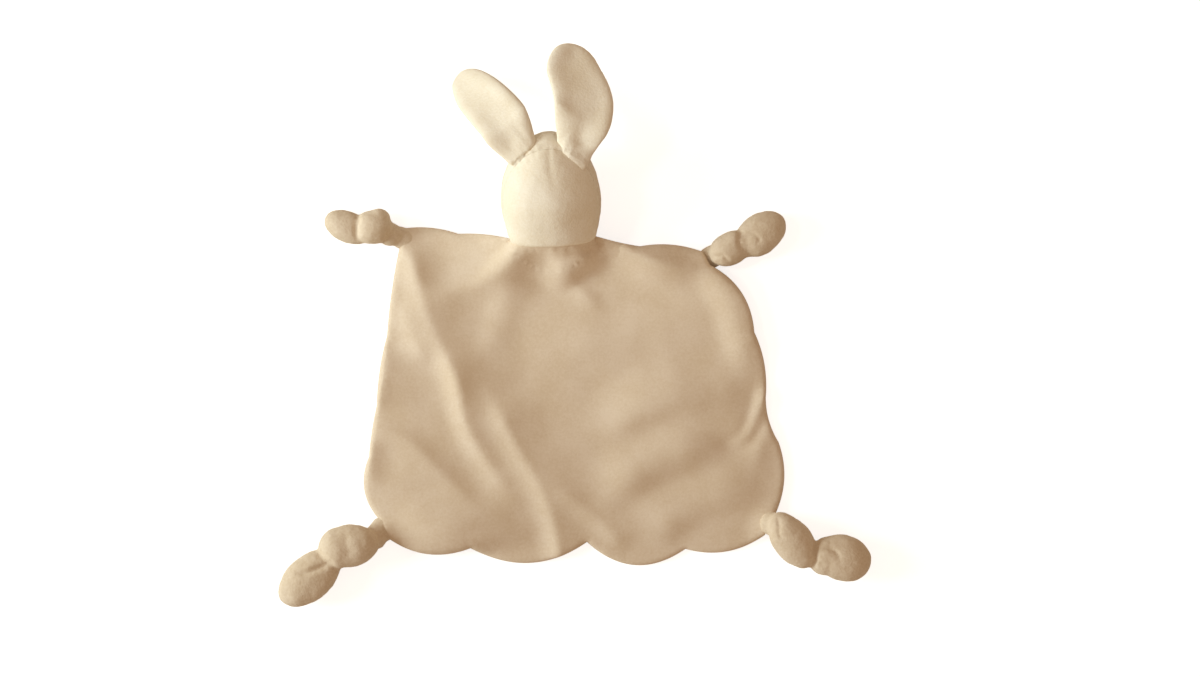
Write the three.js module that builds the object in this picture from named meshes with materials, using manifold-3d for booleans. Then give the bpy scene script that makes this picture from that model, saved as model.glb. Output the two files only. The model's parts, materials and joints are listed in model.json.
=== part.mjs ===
// A comfort blanket (lovey): a rabbit's head on a small double-layer velour blanket with scalloped edges.
// Its four corners are drawn out into ties, each tied in an overhand knot with a soft paw left beyond it.
// It lies on its back, head to +Y and face to +Z. Millimetres, from the bottom centre of its bounding box.
import * as THREE from "three";
import { mergeVertices } from "three/addons/utils/BufferGeometryUtils.js";
import Module from "manifold-3d";

const wasm = await Module();
wasm.setup();

// Driving sizes: cloth and clearances
const velour = 1.6; // one layer of velour, pile included
const layerGap = 0.4; // air between two layers that are sewn together at their edge
const seamGap = 0.3; // between pieces that are sewn to each other
const weld = 0.005; // points of one surface that are nearer than this are one point
const threadRadius = 0.45; // buttonhole thread that gathers the neck

// Driving sizes: the blanket
const blanketWidth = 253;
const blanketLength = 203;
const foldHeight = 10; // the scale of the folds: the tallest is three quarters of it
const foldReach = 27; // how far the broadest slope of a fold runs out to the side
const apronReach = 42; // how far the cloth takes to come down from the neck to the floor
const edgeRound = 3; // width of the rounded border where the two layers are sewn

// Driving sizes: the head and its neck
const headWidth = 60;
const headDepth = 50;
const headLength = 67; // from the neck seam to the crown
const neckWidth = 49;
const neckDepth = 31;
const headPitch = 17; // degrees that the crown is raised off the floor
const headTurn = 2.6; // degrees that the crown leans to the left
const seamTilt = 12; // degrees that the head's seam leans forward, so that it crosses the crown in front
const neckFold = 42; // degrees that the head may be folded forward from there

// Driving sizes: the ears
const earLength = 72;
const earWidth = 37;
const earRootWidth = 23;
const earThickness = 6.4; // both layers and the wadding between them
const earClearance = 0.9; // from the rounded root of an ear to the head that it is sewn to
const leftEarArch = 7; // how far the middle of each ear is arched lengthwise
const rightEarArch = 4;
const leftEarCup = 5; // and how far its sides are curled up
const rightEarCup = 3;

// Driving sizes: the corner ties
const footStrand = 3.8; // radius of the gathered cloth in the lower knots
const handStrand = 2.7; // and in the upper ones
const tieRootShare = 3.4; // width of the short edge that a tie is gathered from, in strand radii
const gatheredShare = 0.8; // of that edge, that the gathered root of the tie fills
const hingeGap = 0.5; // from the rounded root of a tie to the edge that it is drawn out of
const tieLiftShare = 1.6; // how far a knot lifts the blanket's corner, in strand radii
const tieLiftReach = 36; // and how far out of the corner the cloth comes down again

const degrees = THREE.MathUtils.degToRad;
const cream = new THREE.MeshStandardMaterial({ color: 0xe3cfb0, roughness: 0.95, metalness: 0 });
const filling = new THREE.MeshStandardMaterial({ color: 0xf4f2ec, roughness: 1, metalness: 0 });
const thread = new THREE.MeshStandardMaterial({ color: 0xd8c4a4, roughness: 0.7, metalness: 0 });

// Mesh helpers

// A geometry from a list of points and a list of triangles.
function geometryOf(points, triangles) {
  const geometry = new THREE.BufferGeometry().setFromPoints(points);
  geometry.setIndex(triangles.flat());
  return geometry;
}

// The closed solid between two grids of points: outer is the side that is seen, inner the side behind it.
// Both are grid[column][row]: seen from the outer side, columns run to the right and rows away.
function thickSheet(outer, inner) {
  const columns = outer.length;
  const rows = outer[0].length;
  const id = (layer, i, j) => (layer * columns + i) * rows + j;
  const triangles = [];
  const quad = (a, b, c, d) => triangles.push([a, b, c], [a, c, d]);
  for (let i = 0; i + 1 < columns; i++)
    for (let j = 0; j + 1 < rows; j++) {
      quad(id(0, i, j), id(0, i + 1, j), id(0, i + 1, j + 1), id(0, i, j + 1));
      triangles.push([id(1, i, j), id(1, i + 1, j + 1), id(1, i + 1, j)]);
      triangles.push([id(1, i, j), id(1, i, j + 1), id(1, i + 1, j + 1)]);
    }
  for (let i = 0; i + 1 < columns; i++) {
    quad(id(1, i, 0), id(1, i + 1, 0), id(0, i + 1, 0), id(0, i, 0));
    quad(id(0, i, rows - 1), id(0, i + 1, rows - 1), id(1, i + 1, rows - 1), id(1, i, rows - 1));
  }
  for (let j = 0; j + 1 < rows; j++) {
    quad(id(0, 0, j), id(0, 0, j + 1), id(1, 0, j + 1), id(1, 0, j));
    quad(id(1, columns - 1, j), id(1, columns - 1, j + 1), id(0, columns - 1, j + 1), id(0, columns - 1, j));
  }
  return geometryOf([...outer.flat(), ...inner.flat()], triangles);
}

// The closed solid through a row of rings, each a closed loop of as many points, with a cap at each end.
function loft(rings) {
  const sides = rings[0].length;
  const last = rings.length - 1;
  const middle = (ring) => ring.reduce((sum, p) => sum.add(p), new THREE.Vector3()).divideScalar(sides);
  const points = [...rings.flat(), middle(rings[0]), middle(rings[last])];
  const start = points.length - 2;
  const triangles = [];
  for (let k = 0; k < sides; k++) {
    const next = (k + 1) % sides;
    for (let i = 0; i < last; i++) {
      const [a, b, c, d] = [i * sides + k, i * sides + next, (i + 1) * sides + next, (i + 1) * sides + k];
      triangles.push([a, b, c], [a, c, d]);
    }
    triangles.push([start, next, k], [start + 1, last * sides + k, last * sides + next]);
  }
  return geometryOf(points, triangles);
}

const solidOf = (geometry) => {
  const bare = geometry.index ? geometry.toNonIndexed() : geometry.clone();
  bare.deleteAttribute("normal");
  bare.deleteAttribute("uv");
  const merged = mergeVertices(bare, weld);
  return new wasm.Manifold(
    new wasm.Mesh({
      numProp: 3,
      vertProperties: merged.attributes.position.array,
      triVerts: new Uint32Array(merged.index.array),
    }),
  );
};

const geometryFrom = (solid) => {
  const mesh = solid.getMesh();
  const geometry = new THREE.BufferGeometry();
  geometry.setAttribute("position", new THREE.BufferAttribute(mesh.vertProperties, 3));
  geometry.setIndex(new THREE.BufferAttribute(mesh.triVerts, 1));
  return geometry;
};

function piece(name, geometry, material) {
  const mesh = new THREE.Mesh(geometry, material);
  mesh.name = name;
  return mesh;
}

// The head: a shell of velour sewn from a front and a back panel, stuffed with polyester fibre

const neckRadius = neckWidth / 2;
const headRadius = headWidth / 2;
const neckClearance = threadRadius + seamGap; // from the seam's plane to the cloth on either side
const widestShare = 0.37; // of the head's length, from the neck to its widest place
const headFlattening = headDepth / headWidth;

// Radius of the head, seen from the front, at a height above the neck seam.
function headRadiusAt(height) {
  const widest = headLength * widestShare;
  if (height >= widest) {
    const share = (height - widest) / (headLength - widest);
    return headRadius * Math.sqrt(Math.max(0, 1 - share * share));
  }
  const share = 1 - height / widest;
  return headRadius - (headRadius - neckRadius) * share * share;
}

// Half depth over half width at a height: the neck is flatter than the head.
function flatteningAt(height) {
  const share = THREE.MathUtils.smoothstep(height, 0, headLength * widestShare);
  return THREE.MathUtils.lerp(neckDepth / neckWidth, headFlattening, share);
}

// The head's form, as a solid of revolution pressed flat, drawn in by inset all round.
function headForm(inset) {
  const steps = 11;
  const foot = neckClearance + inset / 2;
  const top = headLength - inset;
  const profile = [new THREE.Vector2(0, foot)];
  for (let k = 0; k <= steps; k++) {
    const turn = (k / steps) * (Math.PI / 2);
    const height = foot + (top - foot) * Math.sin(turn);
    const outer = headRadiusAt(foot + (headLength - foot) * Math.sin(turn));
    profile.push(new THREE.Vector2(k === steps ? 0 : Math.max(outer - inset, inset / 2), height));
  }
  const around = 22;
  const geometry = new THREE.LatheGeometry(profile, around);
  const position = geometry.attributes.position;
  for (let i = 0; i < position.count; i++)
    position.setZ(i, position.getZ(i) * flatteningAt(position.getY(i)));
  return geometry;
}

function headPanels() {
  const overrun = headLength; // the cutting blocks reach past the head by its own length
  const outside = solidOf(headForm(0));
  const inside = solidOf(headForm(velour));
  const mouth = new THREE.CylinderGeometry(neckRadius - velour, neckRadius - velour, velour * 4, 22);
  mouth.scale(1, 1, neckDepth / neckWidth);
  mouth.translate(0, neckClearance, 0);
  const shell = outside.subtract(inside).subtract(solidOf(mouth));
  const block = new THREE.BoxGeometry(overrun * 2, overrun * 3, overrun);
  const front = block.clone().translate(0, 0, overrun / 2 + seamGap / 2).rotateX(degrees(seamTilt));
  const back = block.clone().translate(0, 0, -overrun / 2 - seamGap / 2).rotateX(degrees(seamTilt));
  return {
    front: geometryFrom(shell.intersect(solidOf(front))),
    back: geometryFrom(shell.intersect(solidOf(back))),
  };
}

const head = new THREE.Group();
head.name = "head";
head.rotation.set(degrees(headPitch), 0, degrees(headTurn));
const panels = headPanels();
head.add(piece("head_front_panel", panels.front, cream));
head.add(piece("head_back_panel", panels.back, cream));
head.add(piece("head_stuffing", headForm(velour + seamGap), filling));

// The thread that gathers the neck, lying in the seam between the head and the blanket.
function neckThread() {
  const around = 40;
  const sides = 6;
  const ring = new THREE.TorusGeometry(neckRadius - velour, threadRadius, sides, around);
  ring.rotateX(Math.PI / 2);
  const position = ring.attributes.position;
  const flat = (neckDepth / 2 - velour) / (neckRadius - velour);
  for (let i = 0; i < position.count; i++) position.setZ(i, position.getZ(i) * flat);
  return ring;
}
head.add(piece("neck_gathering_thread", neckThread(), thread));

// The neck's height follows from the head lying on the floor.
head.updateMatrixWorld(true);
const neckHeight = -new THREE.Box3().setFromObject(head, true).min.z;

// The ears: petals of two layers with wadding between them, sewn into the head's side seam

const earRootRadius = earThickness / 2;

// Half width of an ear along its length, from 0 at the root to 1 at the tip.
function earHalfWidth(share) {
  const fullestShare = 0.56;
  if (share < fullestShare) {
    const widened = THREE.MathUtils.smoothstep(share, 0, fullestShare);
    return THREE.MathUtils.lerp(earRootWidth, earWidth, widened) / 2;
  }
  const past = (share - fullestShare) / (1 - fullestShare);
  return (earWidth / 2) * Math.sqrt(Math.max(0, 1 - past * past));
}

// One ear in its own frame: root along X at the origin, growing along +Y, front to +Z.
// bend turns its tip aside in its own plane, and arch and cup curve it lengthwise and across.
function ear({ name, bend, arch, cup }) {
  const tip = new THREE.Vector3(0, earLength, 0).applyAxisAngle(new THREE.Vector3(0, 0, 1), degrees(bend));
  const straightShare = 0.42; // of the length, that the root's direction is kept for
  const straight = new THREE.Vector3(0, earLength * straightShare, 0);
  const line = new THREE.QuadraticBezierCurve3(new THREE.Vector3(), straight, tip);
  const lengthCells = 10;
  const rootCells = 2;
  const widthCells = 8;
  const bluntShare = 0.985; // of the length, where the rounded tip ends in a short edge
  const roundingShare = 1.02; // of the length, where the thickness would come to nothing
  const waddingShare = 0.86; // of the width and length that the wadding fills
  const cupShare = 0.8; // of half a wave, that the cup runs through from the root to the tip
  const rootShare = -earRootRadius / earLength; // where the rounded root ends, behind the hinge
  // A layer of the ear at a height off its middle surface, over a share of its width and length.
  const layer = (height, reachShare) => {
    const grid = [];
    for (let i = 0; i <= widthCells; i++) {
      const across = -Math.cos((i / widthCells) * Math.PI) * reachShare;
      const column = [];
      for (let j = -rootCells; j <= lengthCells; j++) {
        const grown = bluntShare * Math.sin(((j / lengthCells) * Math.PI) / 2);
        const rounded = rootShare * Math.sin(((-j / rootCells) * Math.PI) / 2);
        const share = (j < 0 ? rounded : grown) * reachShare + (1 - reachShare) / 2;
        const middle = line.getPoint(Math.max(share, 0));
        middle.y += Math.min(share, 0) * earLength;
        const heading = line.getTangent(Math.max(share, 0));
        const half = Math.max(earHalfWidth(Math.max(share, 0)), velour);
        const end = share < 0 ? 1 - (share / rootShare) ** 2 : 1 - (share / roundingShare) ** 8;
        const full = Math.sqrt((1 - across ** 4) * Math.max(0, end));
        const flexed = Math.max(share, 0);
        const arched = arch * Math.sin(flexed * Math.PI);
        const rise = arched + cup * across * across * Math.sin(flexed * Math.PI * cupShare);
        const [x, y] = [middle.x + heading.y * half * across, middle.y - heading.x * half * across];
        column.push(new THREE.Vector3(x, y, height(full) + rise));
      }
      grid.push(column);
    }
    return grid;
  };
  const hemShare = 0.4; // of a layer, that is left at the ear's sewn edge
  const hem = velour * hemShare;
  const outside = earThickness / 2;
  const face = (side) => layer((full) => side * (seamGap / 2 + hem + (outside - hem) * full), 1);
  const lining = (side) => layer((full) => side * (seamGap / 2 + (outside - velour) * full), 1);
  const wadding = (side) => layer((full) => side * ((outside - velour) * full - seamGap), waddingShare);
  const group = new THREE.Group();
  group.name = name;
  group.add(piece(`${name}_front_panel`, thickSheet(face(1), lining(1)), cream));
  group.add(piece(`${name}_back_panel`, thickSheet(lining(-1), face(-1)), cream));
  group.add(piece(`${name}_wadding`, thickSheet(wadding(1), wadding(-1)), filling));
  return group;
}

// Seats an ear on the head's seam, at a share of the head's length. It grows at a heading to the side of
// straight up and leans back; its rounded root turns about the line where it is sewn.
function seatEar(settings) {
  const { side, seatShare, heading, lean } = settings;
  const step = headLength / 1000;
  const height = headLength * seatShare;
  const radius = headRadiusAt(height);
  const flat = flatteningAt(height);
  const forward = height * Math.tan(degrees(seamTilt));
  const aside = Math.sqrt(radius ** 2 - (forward / flat) ** 2);
  const slope = (headRadiusAt(height + step) - headRadiusAt(height - step)) / (2 * step);
  const normal = new THREE.Vector3(side * aside, -radius * slope, forward / flat ** 2).normalize();
  const made = ear(settings);
  made.position.set(side * aside, height, forward);
  made.position.addScaledVector(normal, earRootRadius + earClearance);
  made.rotation.set(-degrees(lean), 0, degrees(side * -heading), "ZXY");
  return made;
}

head.add(
  seatEar({
    name: "ear_left",
    side: -1,
    seatShare: 0.815,
    heading: 42,
    bend: 0,
    lean: 46,
    arch: leftEarArch,
    cup: leftEarCup,
  }),
  seatEar({
    name: "ear_right",
    side: 1,
    seatShare: 0.815,
    heading: 42,
    bend: 34,
    lean: 44,
    arch: rightEarArch,
    cup: rightEarCup,
  }),
);

// The blanket: a front and a back panel of the same outline, sewn together round the edge

const halfWidth = blanketWidth / 2;
const halfLength = blanketLength / 2;
const twoLayers = 2 * velour + layerGap;
const onBlanket = ([u, v]) => new THREE.Vector2(u * halfWidth, v * halfLength);
const neckShares = [-0.109, 0.935]; // where the neck is, in shares of half the blanket's width and length
const neck = onBlanket(neckShares);
const cutShare = 0.85; // of the turn that the head makes from upright
const steepest = 60; // degrees past which the cut isn't deepened
// The blanket's cloth is cut back from the seam as far as the head needs to fold forward.
const neckCut = (neckDepth / 2) * Math.tan(degrees(Math.min(headPitch + neckFold, steepest) * cutShare));
const neckSide = velour + neckClearance; // length of the gathered neck at its two sides

// Where each tie leaves the blanket, its heading in degrees, and that of its paw.
const corners = {
  hand_left: {
    placeShares: [-0.844, 0.965],
    heading: 166,
    strand: handStrand,
    leadShare: 1.6,
    pawHeading: 184,
    pawShares: [7.8, 3.2, 2.2],
    flip: -1,
  },
  hand_right: {
    placeShares: [0.635, 0.835],
    heading: 29,
    strand: handStrand,
    leadShare: 1.3,
    pawHeading: 26,
    pawShares: [10, 3.9, 2.5],
    flip: 1,
  },
  foot_left: {
    placeShares: [-0.929, -0.793],
    heading: 207,
    strand: footStrand,
    leadShare: 3.4,
    pawHeading: 219,
    pawShares: [10.4, 3.6, 2.5],
    flip: -1,
  },
  foot_right: {
    placeShares: [0.938, -0.77],
    heading: 333,
    strand: footStrand,
    leadShare: 1,
    pawHeading: 343,
    pawShares: [9, 3.8, 2.6],
    flip: 1,
  },
};

// The two ends of the short straight edge that faces a tie, and its middle.
function tieEdge({ placeShares, heading, strand }) {
  const out = new THREE.Vector2(1, 0).rotateAround(new THREE.Vector2(), degrees(heading));
  const across = new THREE.Vector2(-out.y, out.x).multiplyScalar((strand * tieRootShare) / 2);
  const middle = onBlanket(placeShares).addScaledVector(out, -(twoLayers / 2 + hingeGap));
  return { left: middle.clone().add(across), middle, right: middle.clone().sub(across), out };
}

// Points of an arc-like scallop from one point to another; bulgeShare is its rise as a share of the chord,
// to the right of the way it runs.
function scallop(from, to, bulgeShare, cells) {
  const chord = to.clone().sub(from);
  const out = new THREE.Vector2(chord.y, -chord.x).multiplyScalar(2 * bulgeShare);
  const middle = from.clone().lerp(to, 0.5).add(out);
  return new THREE.QuadraticBezierCurve(from, middle, to).getPoints(cells);
}

// A side of the outline from stretches that follow each other.
const joined = (...stretches) => stretches.flatMap((points, k) => (k ? points.slice(1) : points));

function neckNotch(cells) {
  const points = [];
  for (let k = 0; k <= cells; k++) {
    const turn = Math.PI * (1 - k / cells);
    points.push(
      new THREE.Vector2(
        neck.x + (neckRadius + seamGap) * Math.cos(turn),
        neck.y - neckSide - neckCut * Math.sin(turn),
      ),
    );
  }
  return points;
}

const edges = Object.fromEntries(Object.entries(corners).map(([name, corner]) => [name, tieEdge(corner)]));
const footLeft = edges.foot_left;
const footRight = edges.foot_right;
const handLeft = edges.hand_left;
const handRight = edges.hand_right;
const notchCells = 10;
const notch = neckNotch(notchCells);

// The cusps where two scallops meet, and how far each scallop bulges, as a share of its chord.
const cuspShares = {
  bottomLeft: [-0.502, -0.894],
  bottomMiddle: [0.052, -0.858],
  bottomRight: [0.521, -0.9],
  topLeft: [-0.56, 0.97],
  topRight: [0.303, 0.894],
  leftLow: [-0.948, -0.044],
  leftHigh: [-0.9, 0.369],
  rightLow: [0.91, 0.032],
  rightHigh: [0.848, 0.386],
};
const cusps = {};
for (const [name, shares] of Object.entries(cuspShares)) cusps[name] = onBlanket(shares);
const bulgeShares = {
  bottom: [0.13, 0.155, 0.2, 0.12],
  top: [-0.06, -0.04, 0.02, -0.07],
  left: [-0.085, -0.03, -0.02],
  right: [0.075, 0.04, 0.09],
};
const bottomSide = joined(
  [footLeft.middle, footLeft.left],
  scallop(footLeft.left, cusps.bottomLeft, bulgeShares.bottom[0], 7),
  scallop(cusps.bottomLeft, cusps.bottomMiddle, bulgeShares.bottom[1], 9),
  scallop(cusps.bottomMiddle, cusps.bottomRight, bulgeShares.bottom[2], 8),
  scallop(cusps.bottomRight, footRight.right, bulgeShares.bottom[3], 6),
  [footRight.right, footRight.middle],
);
const topSide = joined(
  [handLeft.middle, handLeft.right],
  scallop(handLeft.right, cusps.topLeft, bulgeShares.top[0], 5),
  scallop(cusps.topLeft, notch[0], bulgeShares.top[1], 5),
  notch,
  scallop(notch[notchCells], cusps.topRight, bulgeShares.top[2], 5),
  scallop(cusps.topRight, handRight.left, bulgeShares.top[3], 5),
  [handRight.left, handRight.middle],
);
const leftSide = joined(
  [footLeft.middle, footLeft.right],
  scallop(footLeft.right, cusps.leftLow, bulgeShares.left[0], 9),
  scallop(cusps.leftLow, cusps.leftHigh, bulgeShares.left[1], 7),
  scallop(cusps.leftHigh, handLeft.left, bulgeShares.left[2], 7),
  [handLeft.left, handLeft.middle],
);
const rightSide = joined(
  [footRight.middle, footRight.left],
  scallop(footRight.left, cusps.rightLow, bulgeShares.right[0], 10),
  scallop(cusps.rightLow, cusps.rightHigh, bulgeShares.right[1], 6),
  scallop(cusps.rightHigh, handRight.right, bulgeShares.right[2], 7),
  [handRight.right, handRight.middle],
);

// The folds: each a soft ridge along a line over the blanket. Places are shares of half its width and length;
// height and the reach to either side are shares of foldHeight and foldReach.
const foldShares = [
  {
    heightShare: 0.75,
    leftShare: 0.5,
    rightShare: 0.85,
    lineShares: [
      [-0.77, 0.86], [-0.74, 0.576], [-0.68, 0.384], [-0.615, 0.19],
      [-0.575, -0.06], [-0.507, -0.31], [-0.4, -0.49], [-0.25, -0.7],
    ],
  },
  {
    heightShare: 0.5,
    leftShare: 0.9,
    rightShare: 0.5,
    lineShares: [[-0.42, 0.1], [-0.35, -0.12], [-0.28, -0.4], [-0.2, -0.6], [-0.14, -0.8], [-0.12, -1.02]],
  },
  {
    heightShare: 0.22,
    leftShare: 0.9,
    rightShare: 0.8,
    lineShares: [[-0.25, 0.66], [-0.36, 0.49], [-0.41, 0.251], [-0.42, 0]],
  },
  {
    heightShare: 0.25,
    leftShare: 0.4,
    rightShare: 0.7,
    lineShares: [[-0.137, -0.487], [0.019, -0.66], [0.161, -0.82], [0.303, -0.99]],
  },
  {
    heightShare: 0.5,
    leftShare: 0.45,
    rightShare: 0.45,
    lineShares: [[-0.2, 0.84], [-0.34, 0.82], [-0.52, 0.745], [-0.7, 0.68]],
  },
  {
    heightShare: 0.4,
    leftShare: 0.4,
    rightShare: 0.4,
    lineShares: [[-0.74, 0.93], [-0.6, 0.94], [-0.45, 0.9], [-0.3, 0.87]],
  },
  {
    heightShare: 0.5,
    leftShare: 0.45,
    rightShare: 0.7,
    lineShares: [[0.1, 0.86], [0.256, 0.76], [0.4, 0.7], [0.54, 0.68], [0.68, 0.67]],
  },
  {
    heightShare: 0.45,
    leftShare: 0.5,
    rightShare: 0.9,
    lineShares: [[0.64, 0.7], [0.78, 0.56], [0.85, 0.4], [0.89, 0.2]],
  },
  {
    heightShare: 0.2,
    leftShare: 0.4,
    rightShare: 0.4,
    lineShares: [[-0.03, 0.69], [0.057, 0.575], [0.14, 0.47]],
  },
  {
    heightShare: 0.15,
    leftShare: 0.9,
    rightShare: 0.9,
    lineShares: [[-0.265, 0.31], [0.114, 0.398], [0.493, 0.457]],
  },
  {
    heightShare: 0.18,
    leftShare: 0.9,
    rightShare: 0.8,
    lineShares: [[0.1, -0.12], [0.4, -0.02], [0.65, 0.05]],
  },
  {
    heightShare: 0.18,
    leftShare: 0.9,
    rightShare: 0.9,
    lineShares: [[0.303, -0.84], [0.588, -0.65], [0.825, -0.487]],
  },
  {
    heightShare: 0.34,
    leftShare: 0.6,
    rightShare: 0.35,
    lineShares: [[0.93, 0], [0.9, -0.22], [0.86, -0.42]],
  },
  {
    heightShare: 0.34,
    leftShare: 0.4,
    rightShare: 0.8,
    lineShares: [[-0.93, -0.21], [-0.76, -0.26], [-0.65, -0.4], [-0.52, -0.57], [-0.38, -0.73]],
  },
  {
    heightShare: 0.42,
    leftShare: 0.7,
    rightShare: 0.5,
    lineShares: [[-0.95, -0.58], [-0.83, -0.745], [-0.6, -0.82], [-0.46, -0.87]],
  },
];
const foldLines = foldShares.map(({ lineShares, ...fold }) => {
  const places = lineShares.map((shares) => new THREE.Vector3(...onBlanket(shares), 0));
  return { ...fold, points: new THREE.CatmullRomCurve3(places).getPoints(28) };
});

// Height of one fold at a point: a smooth hump across its line that dies away at both ends.
function foldAt(fold, x, y) {
  let best = Infinity;
  let share = 0;
  let side = 1;
  for (let k = 0; k + 1 < fold.points.length; k++) {
    const a = fold.points[k];
    const b = fold.points[k + 1];
    const [ux, uy] = [b.x - a.x, b.y - a.y];
    const t = THREE.MathUtils.clamp(((x - a.x) * ux + (y - a.y) * uy) / (ux * ux + uy * uy), 0, 1);
    const [dx, dy] = [x - a.x - t * ux, y - a.y - t * uy];
    const distance = Math.hypot(dx, dy);
    if (distance < best) {
      best = distance;
      share = (k + t) / (fold.points.length - 1);
      side = Math.sign(ux * dy - uy * dx) || 1;
    }
  }
  const reach = foldReach * (side > 0 ? fold.leftShare : fold.rightShare);
  if (best >= reach) return 0;
  const fading = THREE.MathUtils.smoothstep(share, 0, 0.18) * (1 - THREE.MathUtils.smoothstep(share, 0.8, 1));
  return foldHeight * fold.heightShare * fading * Math.cos((best / reach) * (Math.PI / 2)) ** 2;
}

// How near a point is to the neck, from 1 at the neck to 0 past the apron, and how far round to its front
// or back.
function neckPull(x, y) {
  const dx = x - neck.x;
  const dy = neck.y - neckSide - y;
  const down = dy > 0 ? dy / neckCut : -dy / neckRadius;
  const round = Math.max(Math.hypot(dx / (neckRadius + seamGap), down), 1);
  const distance = Math.hypot(dx, dy) * (1 - 1 / round);
  const pull = Math.max(0, 1 - distance / apronReach) ** 2;
  return { pull, round: dy > 0 ? down / round : 0 };
}

// How far the knots lift the cloth at a point near a corner.
function cornerLift(x, y) {
  let lift = 0;
  for (const { placeShares, strand } of Object.values(corners)) {
    const near = Math.max(0, 1 - onBlanket(placeShares).distanceTo(new THREE.Vector2(x, y)) / tieLiftReach);
    lift += tieLiftShare * strand * near ** 1.5;
  }
  return lift;
}

// Heights of the outside of the two panels above the floor.
function panelHeights(x, y) {
  const { pull, round } = neckPull(x, y);
  const open = Math.hypot((neckDepth / 2) * round, twoLayers / 2);
  const rises = [cornerLift(x, y), ...foldLines.map((fold) => foldAt(fold, x, y))];
  const lift = (1 - pull) * Math.hypot(...rises);
  return {
    front: lift + pull * (neckHeight + open) + (1 - pull) * twoLayers,
    back: lift + pull * (neckHeight - open),
  };
}

// Lines of the grid: one cell from each edge is split, so that the border can be rounded.
function gridLines(cells, cellLength) {
  const border = edgeRound / cellLength;
  const lines = [0, border];
  for (let k = 1; k < cells; k++) lines.push(k);
  return [...lines, cells - border, cells];
}

// Moves a point inside the outline back from the short edges that the ties leave from.
function behindTies(point) {
  for (const { left, middle, right, out } of Object.values(edges)) {
    const depth = edgeRound + point.clone().sub(middle).dot(out);
    if (depth > 0 && point.distanceTo(middle) < left.distanceTo(right)) point.addScaledVector(out, -depth);
  }
}

const between = (points, at) => {
  const k = Math.min(Math.floor(at), points.length - 2);
  return points[k].clone().lerp(points[k + 1], at - k);
};

// The two panels share one grid over the outline, so their facets lie on each other wherever the cloth does.
function blanketPanels() {
  const across = topSide.length - 1;
  const along = leftSide.length - 1;
  const us = gridLines(across, blanketWidth / across);
  const vs = gridLines(along, blanketLength / along);
  const roundedShare = 0.7; // of a layer, that is rounded off at the sewn edge
  const layers = { frontFace: [], frontBack: [], backFace: [], backBack: [] };
  for (const u of us) {
    const columns = Object.fromEntries(Object.keys(layers).map((name) => [name, []]));
    for (const v of vs) {
      const [s, t] = [u / across, v / along];
      const point = between(bottomSide, u).multiplyScalar(1 - t);
      point.addScaledVector(between(topSide, u), t);
      point.addScaledVector(between(leftSide, v), 1 - s);
      point.addScaledVector(between(rightSide, v), s);
      point.addScaledVector(bottomSide[0], -(1 - s) * (1 - t));
      point.addScaledVector(bottomSide[across], -s * (1 - t));
      point.addScaledVector(topSide[0], -(1 - s) * t);
      point.addScaledVector(topSide[across], -s * t);
      const onEdge = u === 0 || u === across || v === 0 || v === along;
      if (!onEdge) behindTies(point);
      const { front, back } = panelHeights(point.x, point.y);
      const round = onEdge ? velour * roundedShare : 0;
      const at = (z) => new THREE.Vector3(point.x, point.y, z);
      columns.frontFace.push(at(front - round));
      columns.frontBack.push(at(front - velour));
      columns.backFace.push(at(back + velour));
      columns.backBack.push(at(back + round));
    }
    for (const name in layers) layers[name].push(columns[name]);
  }
  return {
    front: thickSheet(layers.frontFace, layers.frontBack),
    back: thickSheet(layers.backFace, layers.backBack),
  };
}

// The gathered neck: a sleeve of the blanket's cloth, short at its sides and long at its front and back,
// that folds when the head does.
function neckGather() {
  const around = 28;
  const steps = 3;
  const pitch = degrees(headPitch);
  const turn = degrees(headTurn);
  const rings = [];
  for (let i = 0; i <= steps; i++) {
    const ring = [];
    for (let k = 0; k < around; k++) {
      const angle = (k / around) * 2 * Math.PI;
      const [c, s] = [Math.cos(angle), -Math.sin(angle)];
      const half = neckDepth / 2;
      const low = new THREE.Vector3(
        neck.x + neckRadius * c,
        neck.y - neckSide - neckCut * Math.abs(s) + seamGap,
        neckHeight + half * s,
      );
      const high = new THREE.Vector3(neckRadius * c, -neckClearance, half * s);
      high.applyEuler(new THREE.Euler(pitch, 0, turn));
      high.add(new THREE.Vector3(neck.x, neck.y, neckHeight));
      ring.push(low.lerp(high, i / steps));
    }
    rings.push(ring);
  }
  return loft(rings);
}

const blanket = new THREE.Group();
blanket.name = "blanket";
const blanketLayers = blanketPanels();
blanket.add(piece("blanket_front_panel", blanketLayers.front, cream));
blanket.add(piece("blanket_back_panel", blanketLayers.back, cream));
blanket.add(piece("neck_gather", neckGather(), cream));
head.position.set(neck.x, neck.y, neckHeight);

// The ties: each corner's cloth, gathered into a strand and tied in an overhand knot, with the paw beyond it

// The route of an overhand knot: the strand runs in through the wrap, turns, wraps round itself once and
// leaves through its own turn. In strand radii from the hinge: x outward, y aside, z up from the knot's middle.
const knotShares = [
  [1.6, -0.7, -0.3],
  [3.2, -1.0, 0.0],
  [4.8, -0.3, -0.3],
  [5.4, 1.1, -0.3],
  [4.6, 2.6, 0.0],
  [3.0, 3.0, 0.5],
  [1.4, 2.0, 1.4],
  [0.9, 0.0, 2.2],
  [1.0, -2.1, 1.9],
  [1.6, -3.1, 0.1],
  [2.2, -2.3, -1.8],
  [2.9, -0.5, -2.2],
  [3.3, 0.9, -1.0],
  [3.4, 1.1, 0.9],
  [4.5, 0.9, 2.2],
  [5.9, 0.6, 2.3],
];
const knotMiddleShare = 3.1; // height of the knot's middle above the floor, in strand radii
const knottedShare = 0.92; // of the strand's radius, where the knot draws it tight
const pawStationShares = [0.16, 0.34, 0.52, 0.7, 0.86, 0.96, 1];
const pawFullestShare = 0.45; // of the paw's length, past which it rounds off to its tip

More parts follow.
